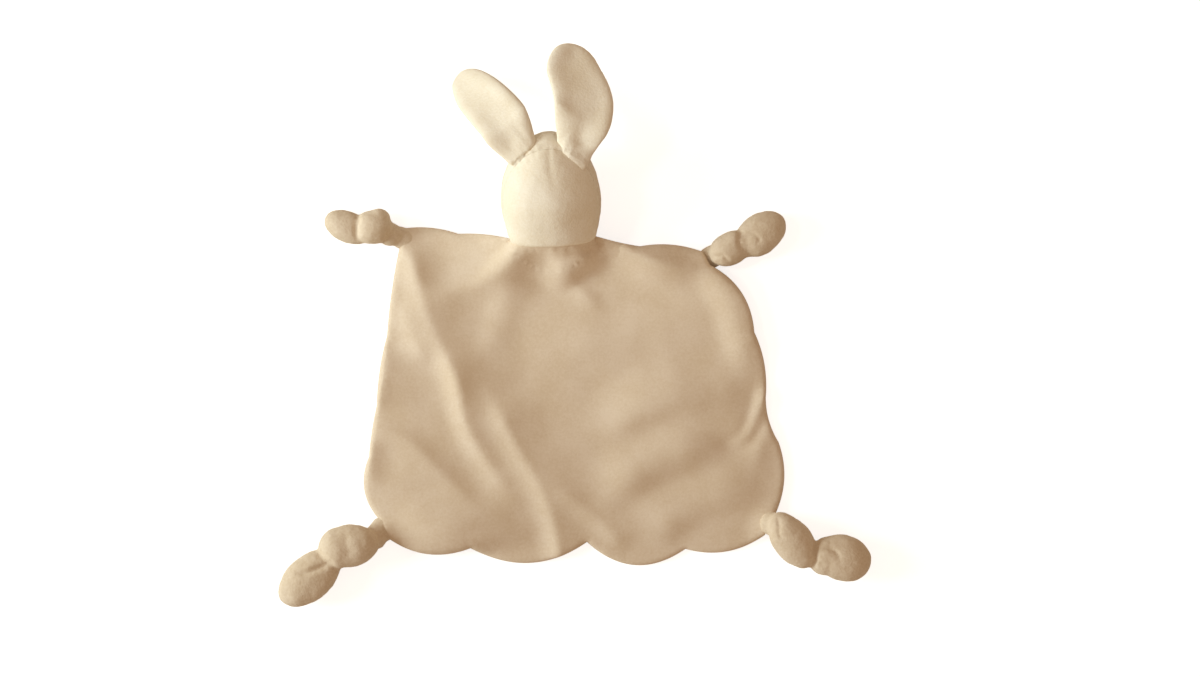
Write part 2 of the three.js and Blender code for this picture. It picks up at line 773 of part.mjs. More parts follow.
// A tie in its own frame: hinge at the origin along Y, growing along +X, up along +Z.
function tie({ strand, heading, leadShare, pawHeading, pawShares, flip }, hingeHeight) {
  const floor = -hingeHeight;
  const middle = knotMiddleShare * strand + floor;
  const rootHalf = (strand * tieRootShare * gatheredShare) / 2;
  const stations = [{ at: new THREE.Vector3(), wide: rootHalf, thick: twoLayers / 2 }];
  for (const [x, y, z] of knotShares) {
    const at = new THREE.Vector3((x + leadShare) * strand, y * strand * flip, z * strand + middle);
    stations.push({ at, wide: knottedShare * strand, thick: knottedShare * strand });
  }
  const aside = degrees(pawHeading - heading);
  const pawWay = new THREE.Vector3(Math.cos(aside), Math.sin(aside), 0);
  const [pawLength, pawHalf, pawThick] = pawShares.map((share) => share * strand);
  const start = stations.at(-1).at;
  for (const share of pawStationShares) {
    const at = start.clone().addScaledVector(pawWay, share * pawLength);
    at.z = THREE.MathUtils.lerp(start.z, floor + pawThick, THREE.MathUtils.smoothstep(share, 0, 0.6));
    const past = Math.max(0, (share - pawFullestShare) / (1 - pawFullestShare));
    const body = Math.sqrt(Math.max(0.01, 1 - past * past));
    const swell = THREE.MathUtils.smoothstep(share, -0.1, 0.38);
    const wide = THREE.MathUtils.lerp(knottedShare * strand, pawHalf, swell) * body;
    const thick = THREE.MathUtils.lerp(knottedShare * strand, pawThick, swell) * body;
    stations.push({ at, wide, thick });
  }
  return strandGeometry(stations, floor);
}

// A strand of gathered cloth through its stations, round or oval. What would sink into the floor is pressed
// flat.
function strandGeometry(stations, floor) {
  const sides = 10;
  const perStation = 2;
  const curve = new THREE.CatmullRomCurve3(stations.map(({ at }) => at), false, "centripetal");
  const count = (stations.length - 1) * perStation;
  const frames = untwisted(curve, count);
  const rings = rootRings(stations[0], sides);
  for (let k = 0; k <= count; k++) {
    const station = k / perStation;
    const [a, b] = [stations[Math.floor(station)], stations[Math.ceil(station)]];
    const wide = THREE.MathUtils.lerp(a.wide, b.wide, station % 1);
    const thick = THREE.MathUtils.lerp(a.thick, b.thick, station % 1);
    rings.push(ringAt(curve.getPoint(k / count), frames[k].aside, frames[k].up, wide, thick, sides));
  }
  for (const point of rings.flat()) point.z = Math.max(point.z, floor);
  return loft(rings);
}

// Directions across a curve, level at both ends, that turn evenly in between.
function untwisted(curve, count) {
  const tangents = Array.from({ length: count + 1 }, (_, k) => curve.getTangent(k / count));
  const ups = [new THREE.Vector3(0, 0, 1).projectOnPlane(tangents[0]).normalize()];
  for (let k = 1; k <= count; k++) {
    const turn = new THREE.Quaternion().setFromUnitVectors(tangents[k - 1], tangents[k]);
    ups.push(ups[k - 1].clone().applyQuaternion(turn));
  }
  const end = tangents[count];
  const level = new THREE.Vector3(0, 0, 1).projectOnPlane(end).normalize();
  const sideways = new THREE.Vector3().crossVectors(ups[count], level).dot(end);
  const twist = Math.atan2(sideways, ups[count].dot(level));
  return tangents.map((tangent, k) => {
    const up = ups[k].applyAxisAngle(tangent, twist * THREE.MathUtils.smoothstep(k / count, 0.1, 0.7));
    return { up, aside: new THREE.Vector3().crossVectors(up, tangent) };
  });
}

function ringAt(centre, aside, up, wide, thick, sides) {
  const ring = [];
  for (let k = 0; k < sides; k++) {
    const angle = (k / sides) * 2 * Math.PI;
    const point = centre.clone().addScaledVector(aside, wide * Math.cos(angle));
    ring.push(point.addScaledVector(up, thick * Math.sin(angle)));
  }
  return ring;
}

// The rounded end of a tie about its hinge line.
function rootRings({ at, wide, thick }, sides) {
  const aside = new THREE.Vector3(0, 1, 0);
  const up = new THREE.Vector3(0, 0, 1);
  return [75, 40].map((angle) => {
    const back = new THREE.Vector3(-thick * Math.sin(degrees(angle)), 0, 0).add(at);
    return ringAt(back, aside, up, wide, thick * Math.cos(degrees(angle)), sides);
  });
}

const lovey = new THREE.Group();
lovey.name = "lovey";
lovey.add(blanket, head);
for (const [name, corner] of Object.entries(corners)) {
  const group = new THREE.Group();
  const { middle } = edges[name];
  const { front, back } = panelHeights(middle.x, middle.y);
  const hingeHeight = (front + back) / 2;
  const place = onBlanket(corner.placeShares);
  group.name = `tie_${name}`;
  group.position.set(place.x, place.y, hingeHeight);
  group.rotation.z = degrees(corner.heading);
  group.add(piece(`tie_${name}`, tie(corner, hingeHeight), cream));
  lovey.add(group);
}

// The origin is the middle of the footprint, on the floor.
lovey.updateMatrixWorld(true);
const extent = new THREE.Box3().setFromObject(lovey, true);
const centre = extent.getCenter(new THREE.Vector3());
lovey.position.set(-centre.x, -centre.y, -extent.min.z);

export default lovey;
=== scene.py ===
# %% [markdown]
# # A rabbit comfort blanket in cream velour
#
# The real thing is sewn from one cloth: a knitted velour with a short dense pile. Two layers of it, cut with
# scalloped edges, are sewn face to face and turned. The top edge is gathered into the neck of a small
# stuffed head with two long ears, and each corner is drawn out, tied in a loose overhand knot and left as a
# soft paw.
#
# It lies on its back and is seen from straight above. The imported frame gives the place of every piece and
# hinge, and everything here is built round it, in metres.

# %% Load the frame
import json
import math

import bpy
import numpy as np
from mathutils import Matrix, Vector, noise
from mathutils.bvhtree import BVHTree
from mathutils.geometry import delaunay_2d_cdt


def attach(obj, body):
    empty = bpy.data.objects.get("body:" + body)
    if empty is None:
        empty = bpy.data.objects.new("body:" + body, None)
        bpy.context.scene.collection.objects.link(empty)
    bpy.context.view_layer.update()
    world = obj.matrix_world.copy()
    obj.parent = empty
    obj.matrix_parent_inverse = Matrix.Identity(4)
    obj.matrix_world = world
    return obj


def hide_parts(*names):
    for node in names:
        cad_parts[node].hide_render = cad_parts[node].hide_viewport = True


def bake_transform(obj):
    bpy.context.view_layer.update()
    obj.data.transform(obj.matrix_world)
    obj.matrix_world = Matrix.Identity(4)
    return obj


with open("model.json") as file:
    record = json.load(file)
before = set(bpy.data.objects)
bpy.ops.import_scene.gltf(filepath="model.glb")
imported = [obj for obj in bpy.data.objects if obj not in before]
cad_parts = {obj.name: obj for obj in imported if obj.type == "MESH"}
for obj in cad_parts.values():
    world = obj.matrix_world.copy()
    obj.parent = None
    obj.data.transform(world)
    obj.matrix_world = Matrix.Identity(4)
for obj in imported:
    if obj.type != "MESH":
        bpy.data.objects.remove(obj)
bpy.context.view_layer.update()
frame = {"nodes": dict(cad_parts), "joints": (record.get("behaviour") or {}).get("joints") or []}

MM = 0.001
joints = {joint["name"]: joint for joint in frame["joints"]}
print("hinges:", sorted(joints))

# %% [markdown]
# ## Helpers
#
# A soft toy is mostly surfaces that a pattern cutter would draw flat, so most pieces start as points that
# are worked out and then joined by faces. These few helpers turn points into an object, apply its modifiers
# as the Apply button does, and smooth its shading.


# %% Turn points and faces into an object
def only(piece):
    """Selects one object and makes it active, as a click on it does."""
    bpy.ops.object.select_all(action="DESELECT")
    piece.select_set(True)
    bpy.context.view_layer.objects.active = piece
    return piece


def placed(name, data):
    """A new object in the scene, from its data."""
    made = bpy.data.objects.new(name, data)
    bpy.context.scene.collection.objects.link(made)
    return made


def made_of(name, points, faces):
    """A new object from points and faces."""
    mesh = bpy.data.meshes.new(name)
    mesh.from_pydata([tuple(p) for p in points], [], [tuple(f) for f in faces])
    mesh.update()
    return placed(name, mesh)


def ball(name, around, rings):
    """A ball of radius 1 round the origin."""
    bpy.ops.object.select_all(action="DESELECT")
    bpy.ops.mesh.primitive_uv_sphere_add(segments=around, ring_count=rings, radius=1)
    piece = bpy.context.object
    piece.name = piece.data.name = name
    return piece


def apply_all(piece):
    """Applies every modifier, from the top of the stack down."""
    only(piece)
    for name in [modifier.name for modifier in piece.modifiers]:
        bpy.ops.object.modifier_apply(modifier=name)
    return piece


def smooth(piece):
    """Shades a piece smooth."""
    only(piece)
    bpy.ops.object.shade_smooth()
    return piece


# %% Read and move an object's points
def points_of(piece):
    """The places of a piece's points, as rows."""
    found = np.zeros(len(piece.data.vertices) * 3)
    piece.data.vertices.foreach_get("co", found)
    return found.reshape(-1, 3)


def move_points(piece, points):
    """Puts a piece's points in new places."""
    piece.data.vertices.foreach_set("co", np.asarray(points, float).ravel())
    piece.data.update()
    return piece


def normals_of(piece):
    """The normals at a piece's points, as rows."""
    found = np.zeros(len(piece.data.vertices) * 3)
    piece.data.vertex_normals.foreach_get("vector", found)
    return found.reshape(-1, 3)


def smoothstep(x, low=0.0, high=1.0):
    """0 below low, 1 above high, and a smooth rise between them."""
    t = np.clip((np.asarray(x, float) - low) / (high - low), 0, 1)
    return t * t * (3 - 2 * t)


def soft_noise(points, size, seed=0.0):
    """Smooth noise from -1 to 1 at each flat or solid point, with lumps about as large as size."""
    shift = Vector((seed * 7.3, seed * 3.1, seed * 5.7))
    return np.array([noise.noise(Vector((*p, 0)[:3]) / size + shift) for p in points])


# %% [markdown]
# ## The blanket's outline
#
# On the real blanket the outline is a cutting line: shallow scallops that meet in cusps, and a short
# straight edge at each corner, where the cloth is gathered into its tie. It could be traced point by point,
# but then no scallop would be even. So each is a quadratic curve between two cusps, whose rise is a share of
# its chord. Places are shares of half the blanket's width and length from its middle, and the frame's hinges
# give the corners and the neck.

# %% Sizes and places of the blanket
HALF_WIDTH = 126.5 * MM
HALF_LENGTH = 101.5 * MM
VELOUR = 1.6 * MM
TWO_LAYERS = 3.6 * MM
NECK_SHARES = (-0.109, 0.935)
NECK_HALF_WIDTH = 24.5 * MM
NECK_HALF_DEPTH = 15.5 * MM
STRANDS = {"hand_left": 2.7 * MM, "hand_right": 2.7 * MM, "foot_left": 3.8 * MM, "foot_right": 3.8 * MM}
TIE_EDGE_SHARE = 1.7  # half the edge that a tie is gathered from, in radii of its strand
TIE_GAP = 2.3 * MM  # from that edge to the tie's hinge

neck = Vector(joints["neck_fold"]["pos_m"])
middle = (neck.x - NECK_SHARES[0] * HALF_WIDTH, neck.y - NECK_SHARES[1] * HALF_LENGTH)


def on_blanket(u, v):
    """A place on the blanket, from its shares."""
    return np.array([middle[0] + u * HALF_WIDTH, middle[1] + v * HALF_LENGTH])


def corner_edge(name):
    """The short edge that a tie is gathered from: its two ends and its middle."""
    joint = joints[f"tie_{name}_fold"]
    out = np.array([-joint["axis"][1], joint["axis"][0]])
    across = np.array([-out[1], out[0]]) * STRANDS[name] * TIE_EDGE_SHARE
    at = np.array(joint["pos_m"][:2]) - out * TIE_GAP
    return {"left": at + across, "right": at - across, "at": at}


corners = {name: corner_edge(name) for name in STRANDS}
print("blanket's middle in mm:", [round(c / MM, 2) for c in middle])

# %% [markdown]
# The head leans back and a little to the left, and the neck seam leans with it. So the seam that the front
# of the blanket hangs from is half an oval that stands up, and the back's is the other half, underneath.

# %% The neck seam
HEAD_LEAN = math.radians(17)
HEAD_TILT = math.radians(2.6)
SEAM_RISE = 1.2 * MM
head_turned = Matrix.Rotation(HEAD_LEAN, 4, "X") @ Matrix.Rotation(HEAD_TILT, 4, "Z")


def neck_seam(side, count=48):
    """Points of the seam from its right end to its left, over the front (1) or under the back (-1)."""
    found = []
    for turn in math.pi * np.arange(count + 1) / count:
        x, z = NECK_HALF_WIDTH * math.cos(turn), side * NECK_HALF_DEPTH * math.sin(turn)
        found.append(neck + head_turned @ Vector((x, SEAM_RISE, z)))
    return np.array(found)


print("top of the neck seam in mm:", round(neck_seam(1)[:, 2].max() / MM, 1))


# %% The outline of one layer
def scallop(start, end, rise, spacing=1.5 * MM):
    """Points from start up to, but not with, end, bulging out to the right of the way it runs."""
    chord = end - start
    count = max(2, round(float(np.linalg.norm(chord)) / spacing))
    control = (start + end) / 2 + np.array([chord[1], -chord[0]]) * 2 * rise
    t = np.arange(count)[:, None] / count
    return (1 - t) ** 2 * start + 2 * t * (1 - t) * control + t**2 * end


def outline(side):
    """The edge of one layer, anticlockwise, and whether each stretch is free or sewn to the head."""
    seam = neck_seam(side)[:, :2]
    hand_left, hand_right = corners["hand_left"], corners["hand_right"]
    foot_left, foot_right = corners["foot_left"], corners["foot_right"]
    # Where each stretch starts, and its rise. None marks the seam with the head.
    stops = [
        (foot_left["left"], 0.13), (on_blanket(-0.502, -0.894), 0.155), (on_blanket(0.052, -0.858), 0.2),
        (on_blanket(0.521, -0.9), 0.12), (foot_right["right"], 0), (foot_right["left"], 0.105),
        (on_blanket(0.965, -0.267), -0.07), (on_blanket(0.903, 0), 0.07), (on_blanket(0.848, 0.386), 0.14),
        (hand_right["right"], 0),
        (hand_right["left"], 0.07), (on_blanket(0.303, 0.894), -0.02), (seam[0], None),
        (seam[-1], 0.04), (on_blanket(-0.56, 0.97), 0.06), (hand_left["right"], 0),
        (hand_left["left"], 0.02), (on_blanket(-0.9, 0.369), 0.03), (on_blanket(-0.948, -0.044), 0.02),
        (on_blanket(-0.985, -0.35), 0.16), (foot_left["right"], 0),
    ]
    points, free = [], []
    for k, (start, rise) in enumerate(stops):
        end = stops[(k + 1) % len(stops)][0]
        stretch = seam[:-1] if rise is None else scallop(start, end, rise)
        points.append(stretch)
        free += [rise is not None] * len(stretch)
    return np.concatenate(points), np.array(free)


print("points of the outline:", len(outline(1)[0]))

# %% [markdown]
# ## The folds
#
# Cloth that is dropped on a table keeps a few long soft folds, which run between the places that hold it:
# the neck and the corners. A cloth simulation would give folds, but not these ones, so each fold is given as
# a line over the blanket, its height, and how far its slope runs out on the left and on the right of that
# line. A short slope makes the sharp side that throws a shadow, and a long one the broad side that catches
# the light. A negative height presses a crease in.
#
# There are two tables, because velour folds in two ways: over a crisp ridge where it is pulled, and in a
# round swell where it lies loose. Where lines cross, their heights add up.

# %% The lines of the folds
# Height in mm, reach to the left and to the right in mm, the shares of the line over which the fold rises at
# its start and sinks at its end, and the line itself, in shares of the blanket.
fold_shares = [
    (4.6, 46, 25, 0.16, 0.45, [(-0.8, 0.93), (-0.765, 0.8), (-0.73, 0.6), (-0.685, 0.43), (-0.62, 0.25),
        (-0.575, 0.12), (-0.55, -0.02), (-0.53, -0.14)]),
    (5.2, 46, 12, 0.3, 0.45, [(-0.66, 0.36), (-0.62, 0.25), (-0.575, 0.12), (-0.55, -0.02), (-0.53, -0.14),
        (-0.475, -0.28), (-0.4, -0.42), (-0.32, -0.56), (-0.26, -0.68)]),
    (3.2, 15, 12, 0.3, 0.5, [(-0.85, 0.97), (-0.8, 0.84), (-0.76, 0.7), (-0.73, 0.58)]),
    (3.6, 30, 9, 0.3, 0.3, [(-0.9, 0.32), (-0.91, 0.18), (-0.93, 0.03), (-0.95, -0.12)]),
    (2.4, 34, 14, 0.3, 0.3, [(-0.84, 0.58), (-0.8, 0.45), (-0.76, 0.32), (-0.7, 0.18)]),
    (3.8, 42, 13, 0.3, 0.05, [(-0.44, 0.2), (-0.4, 0), (-0.36, -0.1), (-0.32, -0.2), (-0.275, -0.31),
        (-0.215, -0.43), (-0.16, -0.56), (-0.12, -0.7), (-0.09, -0.85), (-0.08, -1)]),
    (2.1, 22, 13, 0.35, 0.2, [(-0.18, -0.46), (-0.06, -0.56), (0.05, -0.67), (0.15, -0.78), (0.25, -0.92)]),
    (6, 30, 13, 0.9, 0.02, [(-0.78, 0.56), (-0.66, 0.6), (-0.55, 0.64), (-0.42, 0.7), (-0.33, 0.77),
        (-0.27, 0.87), (-0.25, 0.96)]),
    (-1.5, 6, 6, 0.5, 0.1, [(-0.55, 0.82), (-0.45, 0.83), (-0.36, 0.85), (-0.3, 0.9)]),
    (2.2, 8, 12, 0.3, 0.4, [(-0.45, 0.89), (-0.57, 0.94), (-0.69, 0.955), (-0.82, 0.93)]),
    (16, 44, 19, 0.08, 0.65, [(0.06, 1), (0.16, 0.92), (0.27, 0.85), (0.38, 0.8), (0.5, 0.77), (0.62, 0.74),
        (0.74, 0.66), (0.84, 0.54)]),
    (1.8, 10, 12, 0.2, 0.5, [(-0.08, 0.8), (-0.03, 0.71), (0.04, 0.62), (0.1, 0.53), (0.15, 0.42)]),
    (-3.2, 12, 8, 0.15, 0.4, [(0.92, 0.08), (0.875, -0.04), (0.84, -0.16), (0.79, -0.25), (0.7, -0.27),
        (0.6, -0.2)]),
    (1.4, 16, 12, 0.3, 0.5, [(0.95, -0.02), (0.91, -0.14), (0.88, -0.28), (0.85, -0.42), (0.82, -0.56)]),
    (2.4, 13, 32, 0.1, 0.3, [(-0.99, -0.16), (-0.88, -0.2), (-0.79, -0.26), (-0.7, -0.37), (-0.61, -0.48),
        (-0.51, -0.6), (-0.4, -0.72)]),
    (2.2, 15, 7, 0.3, 0.4, [(-0.97, -0.22), (-0.975, -0.34), (-0.98, -0.46), (-0.96, -0.6)]),
]
swell_shares = [
    (7, 60, 60, 0.6, 0.3, [(-0.66, -0.5), (-0.62, -0.68), (-0.58, -0.84), (-0.56, -0.97)]),
    (1.2, 18, 26, 0.4, 0.4, [(0.8, 0.5), (0.56, 0.46), (0.2, 0.36), (-0.1, 0.27), (-0.4, 0.16)]),
    (4.6, 18, 26, 0.5, 0.4, [(0.86, 0), (0.75, -0.03), (0.6, -0.02), (0.45, -0.02), (0.3, -0.07),
        (0.17, -0.17), (0.08, -0.29)]),
    (4.6, 18, 24, 0.3, 0.4, [(0.74, -0.28), (0.58, -0.31), (0.43, -0.36), (0.3, -0.43), (0.18, -0.53),
        (0.08, -0.66)]),
    (2.6, 16, 24, 0.3, 0.3, [(0.88, -0.49), (0.72, -0.57), (0.56, -0.65), (0.43, -0.75), (0.34, -0.88)]),
    (1.6, 24, 18, 0.3, 0.35, [(-1.02, -0.46), (-0.97, -0.58), (-0.91, -0.66), (-0.83, -0.71),
        (-0.73, -0.74), (-0.62, -0.78), (-0.48, -0.88)]),
    (1.3, 17, 13, 0.1, 0.4, [(-0.23, 0.8), (-0.31, 0.64), (-0.36, 0.48), (-0.39, 0.34), (-0.41, 0.16)]),
    (5, 30, 19, 0.3, 0.3, [(0.55, 0.9), (0.66, 0.76), (0.75, 0.6), (0.79, 0.44), (0.83, 0.28),
        (0.89, 0.12)]),
]
print("folds:", len(fold_shares), "crisp and", len(swell_shares), "round")


# %% How high the folds lift the cloth
CRISPNESS = 1.8


def through(places, per_cell=6):
    """A smooth line through places, by Catmull-Rom."""
    p = np.array([places[0], *places, places[-1]], float)
    line = []
    for k in range(1, len(p) - 2):
        for t in np.arange(per_cell) / per_cell:
            a, b, c, d = p[k - 1 : k + 3]
            curve = 3 * b - a - 3 * c + d
            line.append(0.5 * (2 * b + (c - a) * t + (2 * a - 5 * b + 4 * c - d) * t**2 + curve * t**3))
    return np.array([*line, p[-2]])


def nearest_on(line, points):
    """For each point: its distance to a line, how far along the line that is (0 to 1), and on which side."""
    best = np.full(len(points), np.inf)
    share, side = np.zeros(len(points)), np.ones(len(points))
    for k, (a, b) in enumerate(zip(line[:-1], line[1:])):
        way = b - a
        t = np.clip((points - a) @ way / max(way @ way, 1e-18), 0, 1)
        off = points - a - t[:, None] * way
        distance = np.hypot(off[:, 0], off[:, 1])
        nearer = distance < best
        best[nearer] = distance[nearer]
        share[nearer] = ((k + t) / (len(line) - 1))[nearer]
        side[nearer] = np.sign(way[0] * off[:, 1] - way[1] * off[:, 0])[nearer]
    return best, share, side


def crisp(away):
    """The side of a sharp ridge: 1 on its line and 0 at its reach."""
    return (1 - away) ** CRISPNESS


def rounded(away):
    """The side of a swell, level on its line and at its reach."""
    return np.cos(away * math.pi / 2) ** 2


def folds_at(points):
    """How high the folds lift the cloth at each point."""
    risen = np.zeros(len(points))
    rows = [(crisp, row) for row in fold_shares] + [(rounded, row) for row in swell_shares]
    for slope, (height, left, right, start, end, shares) in rows:
        line = through([on_blanket(u, v) for u, v in shares])
        distance, along, side = nearest_on(line, points)
        reach = np.where(side > 0, left, right) * MM
        fading = smoothstep(along, 0, start) * (1 - smoothstep(along, 1 - end, 1))
        risen += height * MM * fading * slope(np.minimum(distance / reach, 1))
    return risen


print("height in the blanket's middle in mm:", round(float(folds_at(np.array([middle]))[0]) / MM, 1))

# %% [markdown]
# ## Cutting and laying the cloth
#
# A layer is cut from its outline and filled with evenly spaced points, closer near the edge, where the
# turned seam rolls over. Blender's constrained Delaunay triangulation joins them, which suits soft cloth
# better than a square grid: it has no direction of its own, and follows cusps without a stretched face. Each
# point is then lifted to the height of the folds, of the knots at the corners, and of the neck.


# %% Where a point lies in an outline
def edge_distance(points, edge, free):
    """For each point: its distance to the stretches of an outline that are free, and the place along it."""
    ends = np.roll(edge, -1, axis=0)
    best = np.full(len(points), np.inf)
    along = np.zeros(len(points))
    walked = 0.0
    for a, b, counts in zip(edge, ends, free):
        way = b - a
        length = float(np.linalg.norm(way))
        if counts and length > 0:
            t = np.clip((points - a) @ way / (way @ way), 0, 1)
            distance = np.linalg.norm(points - a - t[:, None] * way, axis=1)
            nearer = distance < best
            best[nearer] = distance[nearer]
            along[nearer] = walked + t[nearer] * length
        walked += length
    return best, along


def inside_outline(points, edge):
    """Whether each point lies within an outline, by counting the edges that a ray crosses."""
    crossed = np.zeros(len(points), bool)
    for a, b in zip(edge, np.roll(edge, -1, axis=0)):
        straddles = (a[1] > points[:, 1]) != (b[1] > points[:, 1])
        if straddles.any():
            x = a[0] + (points[:, 1] - a[1]) / (b[1] - a[1] + 1e-18) * (b[0] - a[0])
            crossed ^= straddles & (points[:, 0] < x)
    return crossed


print("the middle is in the outline:", bool(inside_outline(np.array([middle]), outline(1)[0])[0]))


# %% Where the neck is parted from the blanket
NECK_CUT = 20 * MM


def neck_cut(side):
    """The line across a layer where the part that bends with the head is parted from the rest."""
    seam = neck_seam(side)[:, :2]
    turn = np.linspace(0, math.pi, 64)
    middle_x, half = (seam[0, 0] + seam[-1, 0]) / 2, (seam[0, 0] - seam[-1, 0]) / 2
    base = np.interp(np.cos(turn), [-1, 1], [seam[-1, 1], seam[0, 1]])
    return np.stack([middle_x + half * np.cos(turn), base - NECK_CUT * np.sin(turn)], axis=1)


print("points on the neck's line:", len(neck_cut(1)))


# %% Cut one layer
CLOTH_SPACING = 2.1 * MM
CLOTH_ROWS = np.array([0.45, 1.1, 2.0, 3.2]) * MM
ROW_SHARE = 0.93  # of a row's depth, that its points keep from the edge where it bends
CLEAR_SHARE = 0.6  # of the spacing, that points within keep from the rows and from the lines


def fill(edge, spacing, depths, lines=()):
    """Triangles that fill an outline: rows inside its edge, evenly spaced points within, and lines kept."""
    ends, before = np.roll(edge, -1, axis=0), np.roll(edge, 1, axis=0)
    way = ends - before
    inward = np.stack([-way[:, 1], way[:, 0]], axis=1) / np.linalg.norm(way, axis=1)[:, None]
    whole = np.ones(len(edge), bool)
    rows = np.concatenate([edge + inward * depth for depth in depths])
    rows = rows[edge_distance(rows, edge, whole)[0] > np.repeat(depths, len(edge)) * ROW_SHARE]
    low, high = edge.min(0), edge.max(0)
    grid = []
    for k, y in enumerate(np.arange(low[1], high[1], spacing * math.sqrt(3) / 2)):
        xs = np.arange(low[0] + (k % 2) * spacing / 2, high[0], spacing)
        grid.append(np.stack([xs, np.full(len(xs), y)], axis=1))
    grid = np.concatenate(grid)
    clear = CLEAR_SHARE * spacing
    within = inside_outline(grid, edge) & (edge_distance(grid, edge, whole)[0] > depths[-1] + clear)
    inner = np.concatenate([rows, grid[within]])
    points, kept = [edge], []
    for line in lines:
        inner = inner[nearest_on(line, inner)[0] > clear]
        first = int(np.argmin(np.linalg.norm(edge - line[0], axis=1)))
        last = int(np.argmin(np.linalg.norm(edge - line[-1], axis=1)))
        start = sum(len(part) for part in points)
        chain = [first, *range(start, start + len(line) - 2), last]
        points.append(line[1:-1])
        kept += list(zip(chain[:-1], chain[1:]))
    points = np.concatenate([*points, inner])
    found = delaunay_2d_cdt([Vector(p) for p in points / MM], kept, [list(range(len(edge)))], 1, 1e-5)
    return np.array([tuple(p) for p in found[0]]) * MM, np.array([list(face) for face in found[2]])


def cut_layer(side):
    """Points and triangles of a flat layer, and each point's distance to the free edge and place along it."""
    edge, free = outline(side)
    points, triangles = fill(edge, CLOTH_SPACING, CLOTH_ROWS, [neck_cut(side)])
    return points, triangles, *edge_distance(points, edge, free)


# %% [markdown]
# The front doesn't slope evenly down from the neck seam. It drops to a roll of gathered cloth close under
# it, and over that roll to the blanket. FLAP_HEIGHT is the roll's height in the middle. It rises by
# FLAP_SLANT to the right, and falls by FLAP_FALL at its very end. The roll is down at FLAP_REACH from the
# seam, or further by FLAP_TONGUE in the middle. At the left end there is no roll, and the cloth slopes down
# over SLOPE_REACH, as the back does over BACK_REACH. The rest lies on the table: LOFT is how high pile and
# air lift it away from its edge.

# %% How high the neck draws the cloth up
FLAP_HEIGHT = 19 * MM
FLAP_SLANT = 12 * MM
FLAP_FALL = 20 * MM
FLAP_REACH = 20 * MM
FLAP_TONGUE = 8 * MM
SLOPE_REACH = 46 * MM
BACK_REACH = 36 * MM
BACK_TONGUE = 6 * MM


def neck_pull(points, side):
    """How much of the neck's height each point has, and the height that it is drawn up to there."""
    distance = nearest_on(neck_seam(side)[:, :2], points)[0]
    across = np.clip((points[:, 0] - neck.x) / (NECK_HALF_WIDTH + 0.7 * distance), -1, 1)
    arch = np.sqrt(1 - across**2)
    height = neck.z + side * NECK_HALF_DEPTH * math.cos(HEAD_LEAN) * arch
    if side < 0:
        return np.clip(1 - distance / (BACK_REACH + BACK_TONGUE * arch**2), 0, 1) ** 2, height
    share = np.clip(distance / (FLAP_REACH + FLAP_TONGUE * np.exp(-(((across - 0.1) / 0.3) ** 2))), 0, 1)
    pull = np.clip(1 - distance / SLOPE_REACH, 0, 1) ** 1.4
    pull += (np.cos(share * math.pi / 2) - pull) * smoothstep(across, -1, 0.1)
    roll = FLAP_HEIGHT + FLAP_SLANT * across - FLAP_FALL * smoothstep(across, 0.5, 1)
    height += (roll - height) * smoothstep(share, 0, 0.35) * smoothstep(across, -1, 0)
    return pull, height


print("height at the neck in mm:", round(float(neck_pull(np.array([neck[:2]]), 1)[1][0]) / MM, 1))


# %% How high each layer lies
CORNER_REACH = 17 * MM
CORNER_LIFT_SHARE = 1.1
EDGE_REACH = 26 * MM
EDGE_ROUND = 3.2 * MM
LOFT = 1.5 * MM
SEAM_SINK = 2.4 * MM


def corner_lift(points):
    """How high the knots hold up the corners of the blanket."""
    lift = np.zeros(len(points))
    for name, corner in corners.items():
        near = np.clip(1 - np.linalg.norm(points - corner["at"], axis=1) / CORNER_REACH, 0, 1)
        lift += CORNER_LIFT_SHARE * STRANDS[name] * near**1.4
    return lift


def lay(points, distance, along, side):
    """Height of the middle of the cloth, front (1) or back (-1), and how far its face lies from there."""
    sway = soft_noise(points, 34 * MM, 1) * 0.9 + soft_noise(points, 13 * MM, 2) * 0.22
    pucker = np.sin(along / (9.5 * MM) * math.tau + 2.5 * np.sin(along / (31 * MM)))
    rises = folds_at(points) + (LOFT + sway * MM) * smoothstep(distance, 0, EDGE_REACH)
    rises += 0.15 * MM * pucker * np.exp(-distance / (5 * MM))
    lift = np.maximum(np.hypot(rises, corner_lift(points)), 0.1 * MM)
    pull, seam_height = neck_pull(points, side)
    full = TWO_LAYERS / 2 * np.sqrt(1 - (1 - np.clip(distance / EDGE_ROUND, 0, 1)) ** 2)
    return (1 - pull) * (lift + TWO_LAYERS / 2) + pull * (seam_height - side * SEAM_SINK), full


def relaxed(heights, triangles, held, rounds=3):
    """Heights after some rounds in which each point that isn't held goes halfway to its neighbours' mean."""
    pairs = np.concatenate([triangles[:, [0, 1]], triangles[:, [1, 2]], triangles[:, [2, 0]]])
    first, second = np.concatenate([pairs, pairs[:, ::-1]]).T
    neighbours = np.bincount(first, minlength=len(heights))
    for _ in range(rounds):
        mean = np.bincount(first, heights[second], len(heights)) / neighbours
        heights = np.where(held, heights, (heights + mean) / 2)
    return heights


lifts = corner_lift(np.array([corner["at"] for corner in corners.values()]))
print("lift of the corners in mm:", np.round(lifts / MM, 1))

# %% [markdown]
# ## From a sheet to two real layers
#
# Each layer gets its thickness by a second surface behind its face. The two surfaces close on each other at
# the seam, as a turned edge does. A Solidify modifier could do that too, but not thin it out towards the
# edge. The cloth that stands up to the neck is a piece of its own, because it has to bend when the head is
# folded forward, while the blanket stays where it lies.

# %% Give a layer its thickness
KNIT = VELOUR * 0.7  # the knit without its pile
THINNEST_SHARE = 0.12  # of the knit, that is left at the very edge


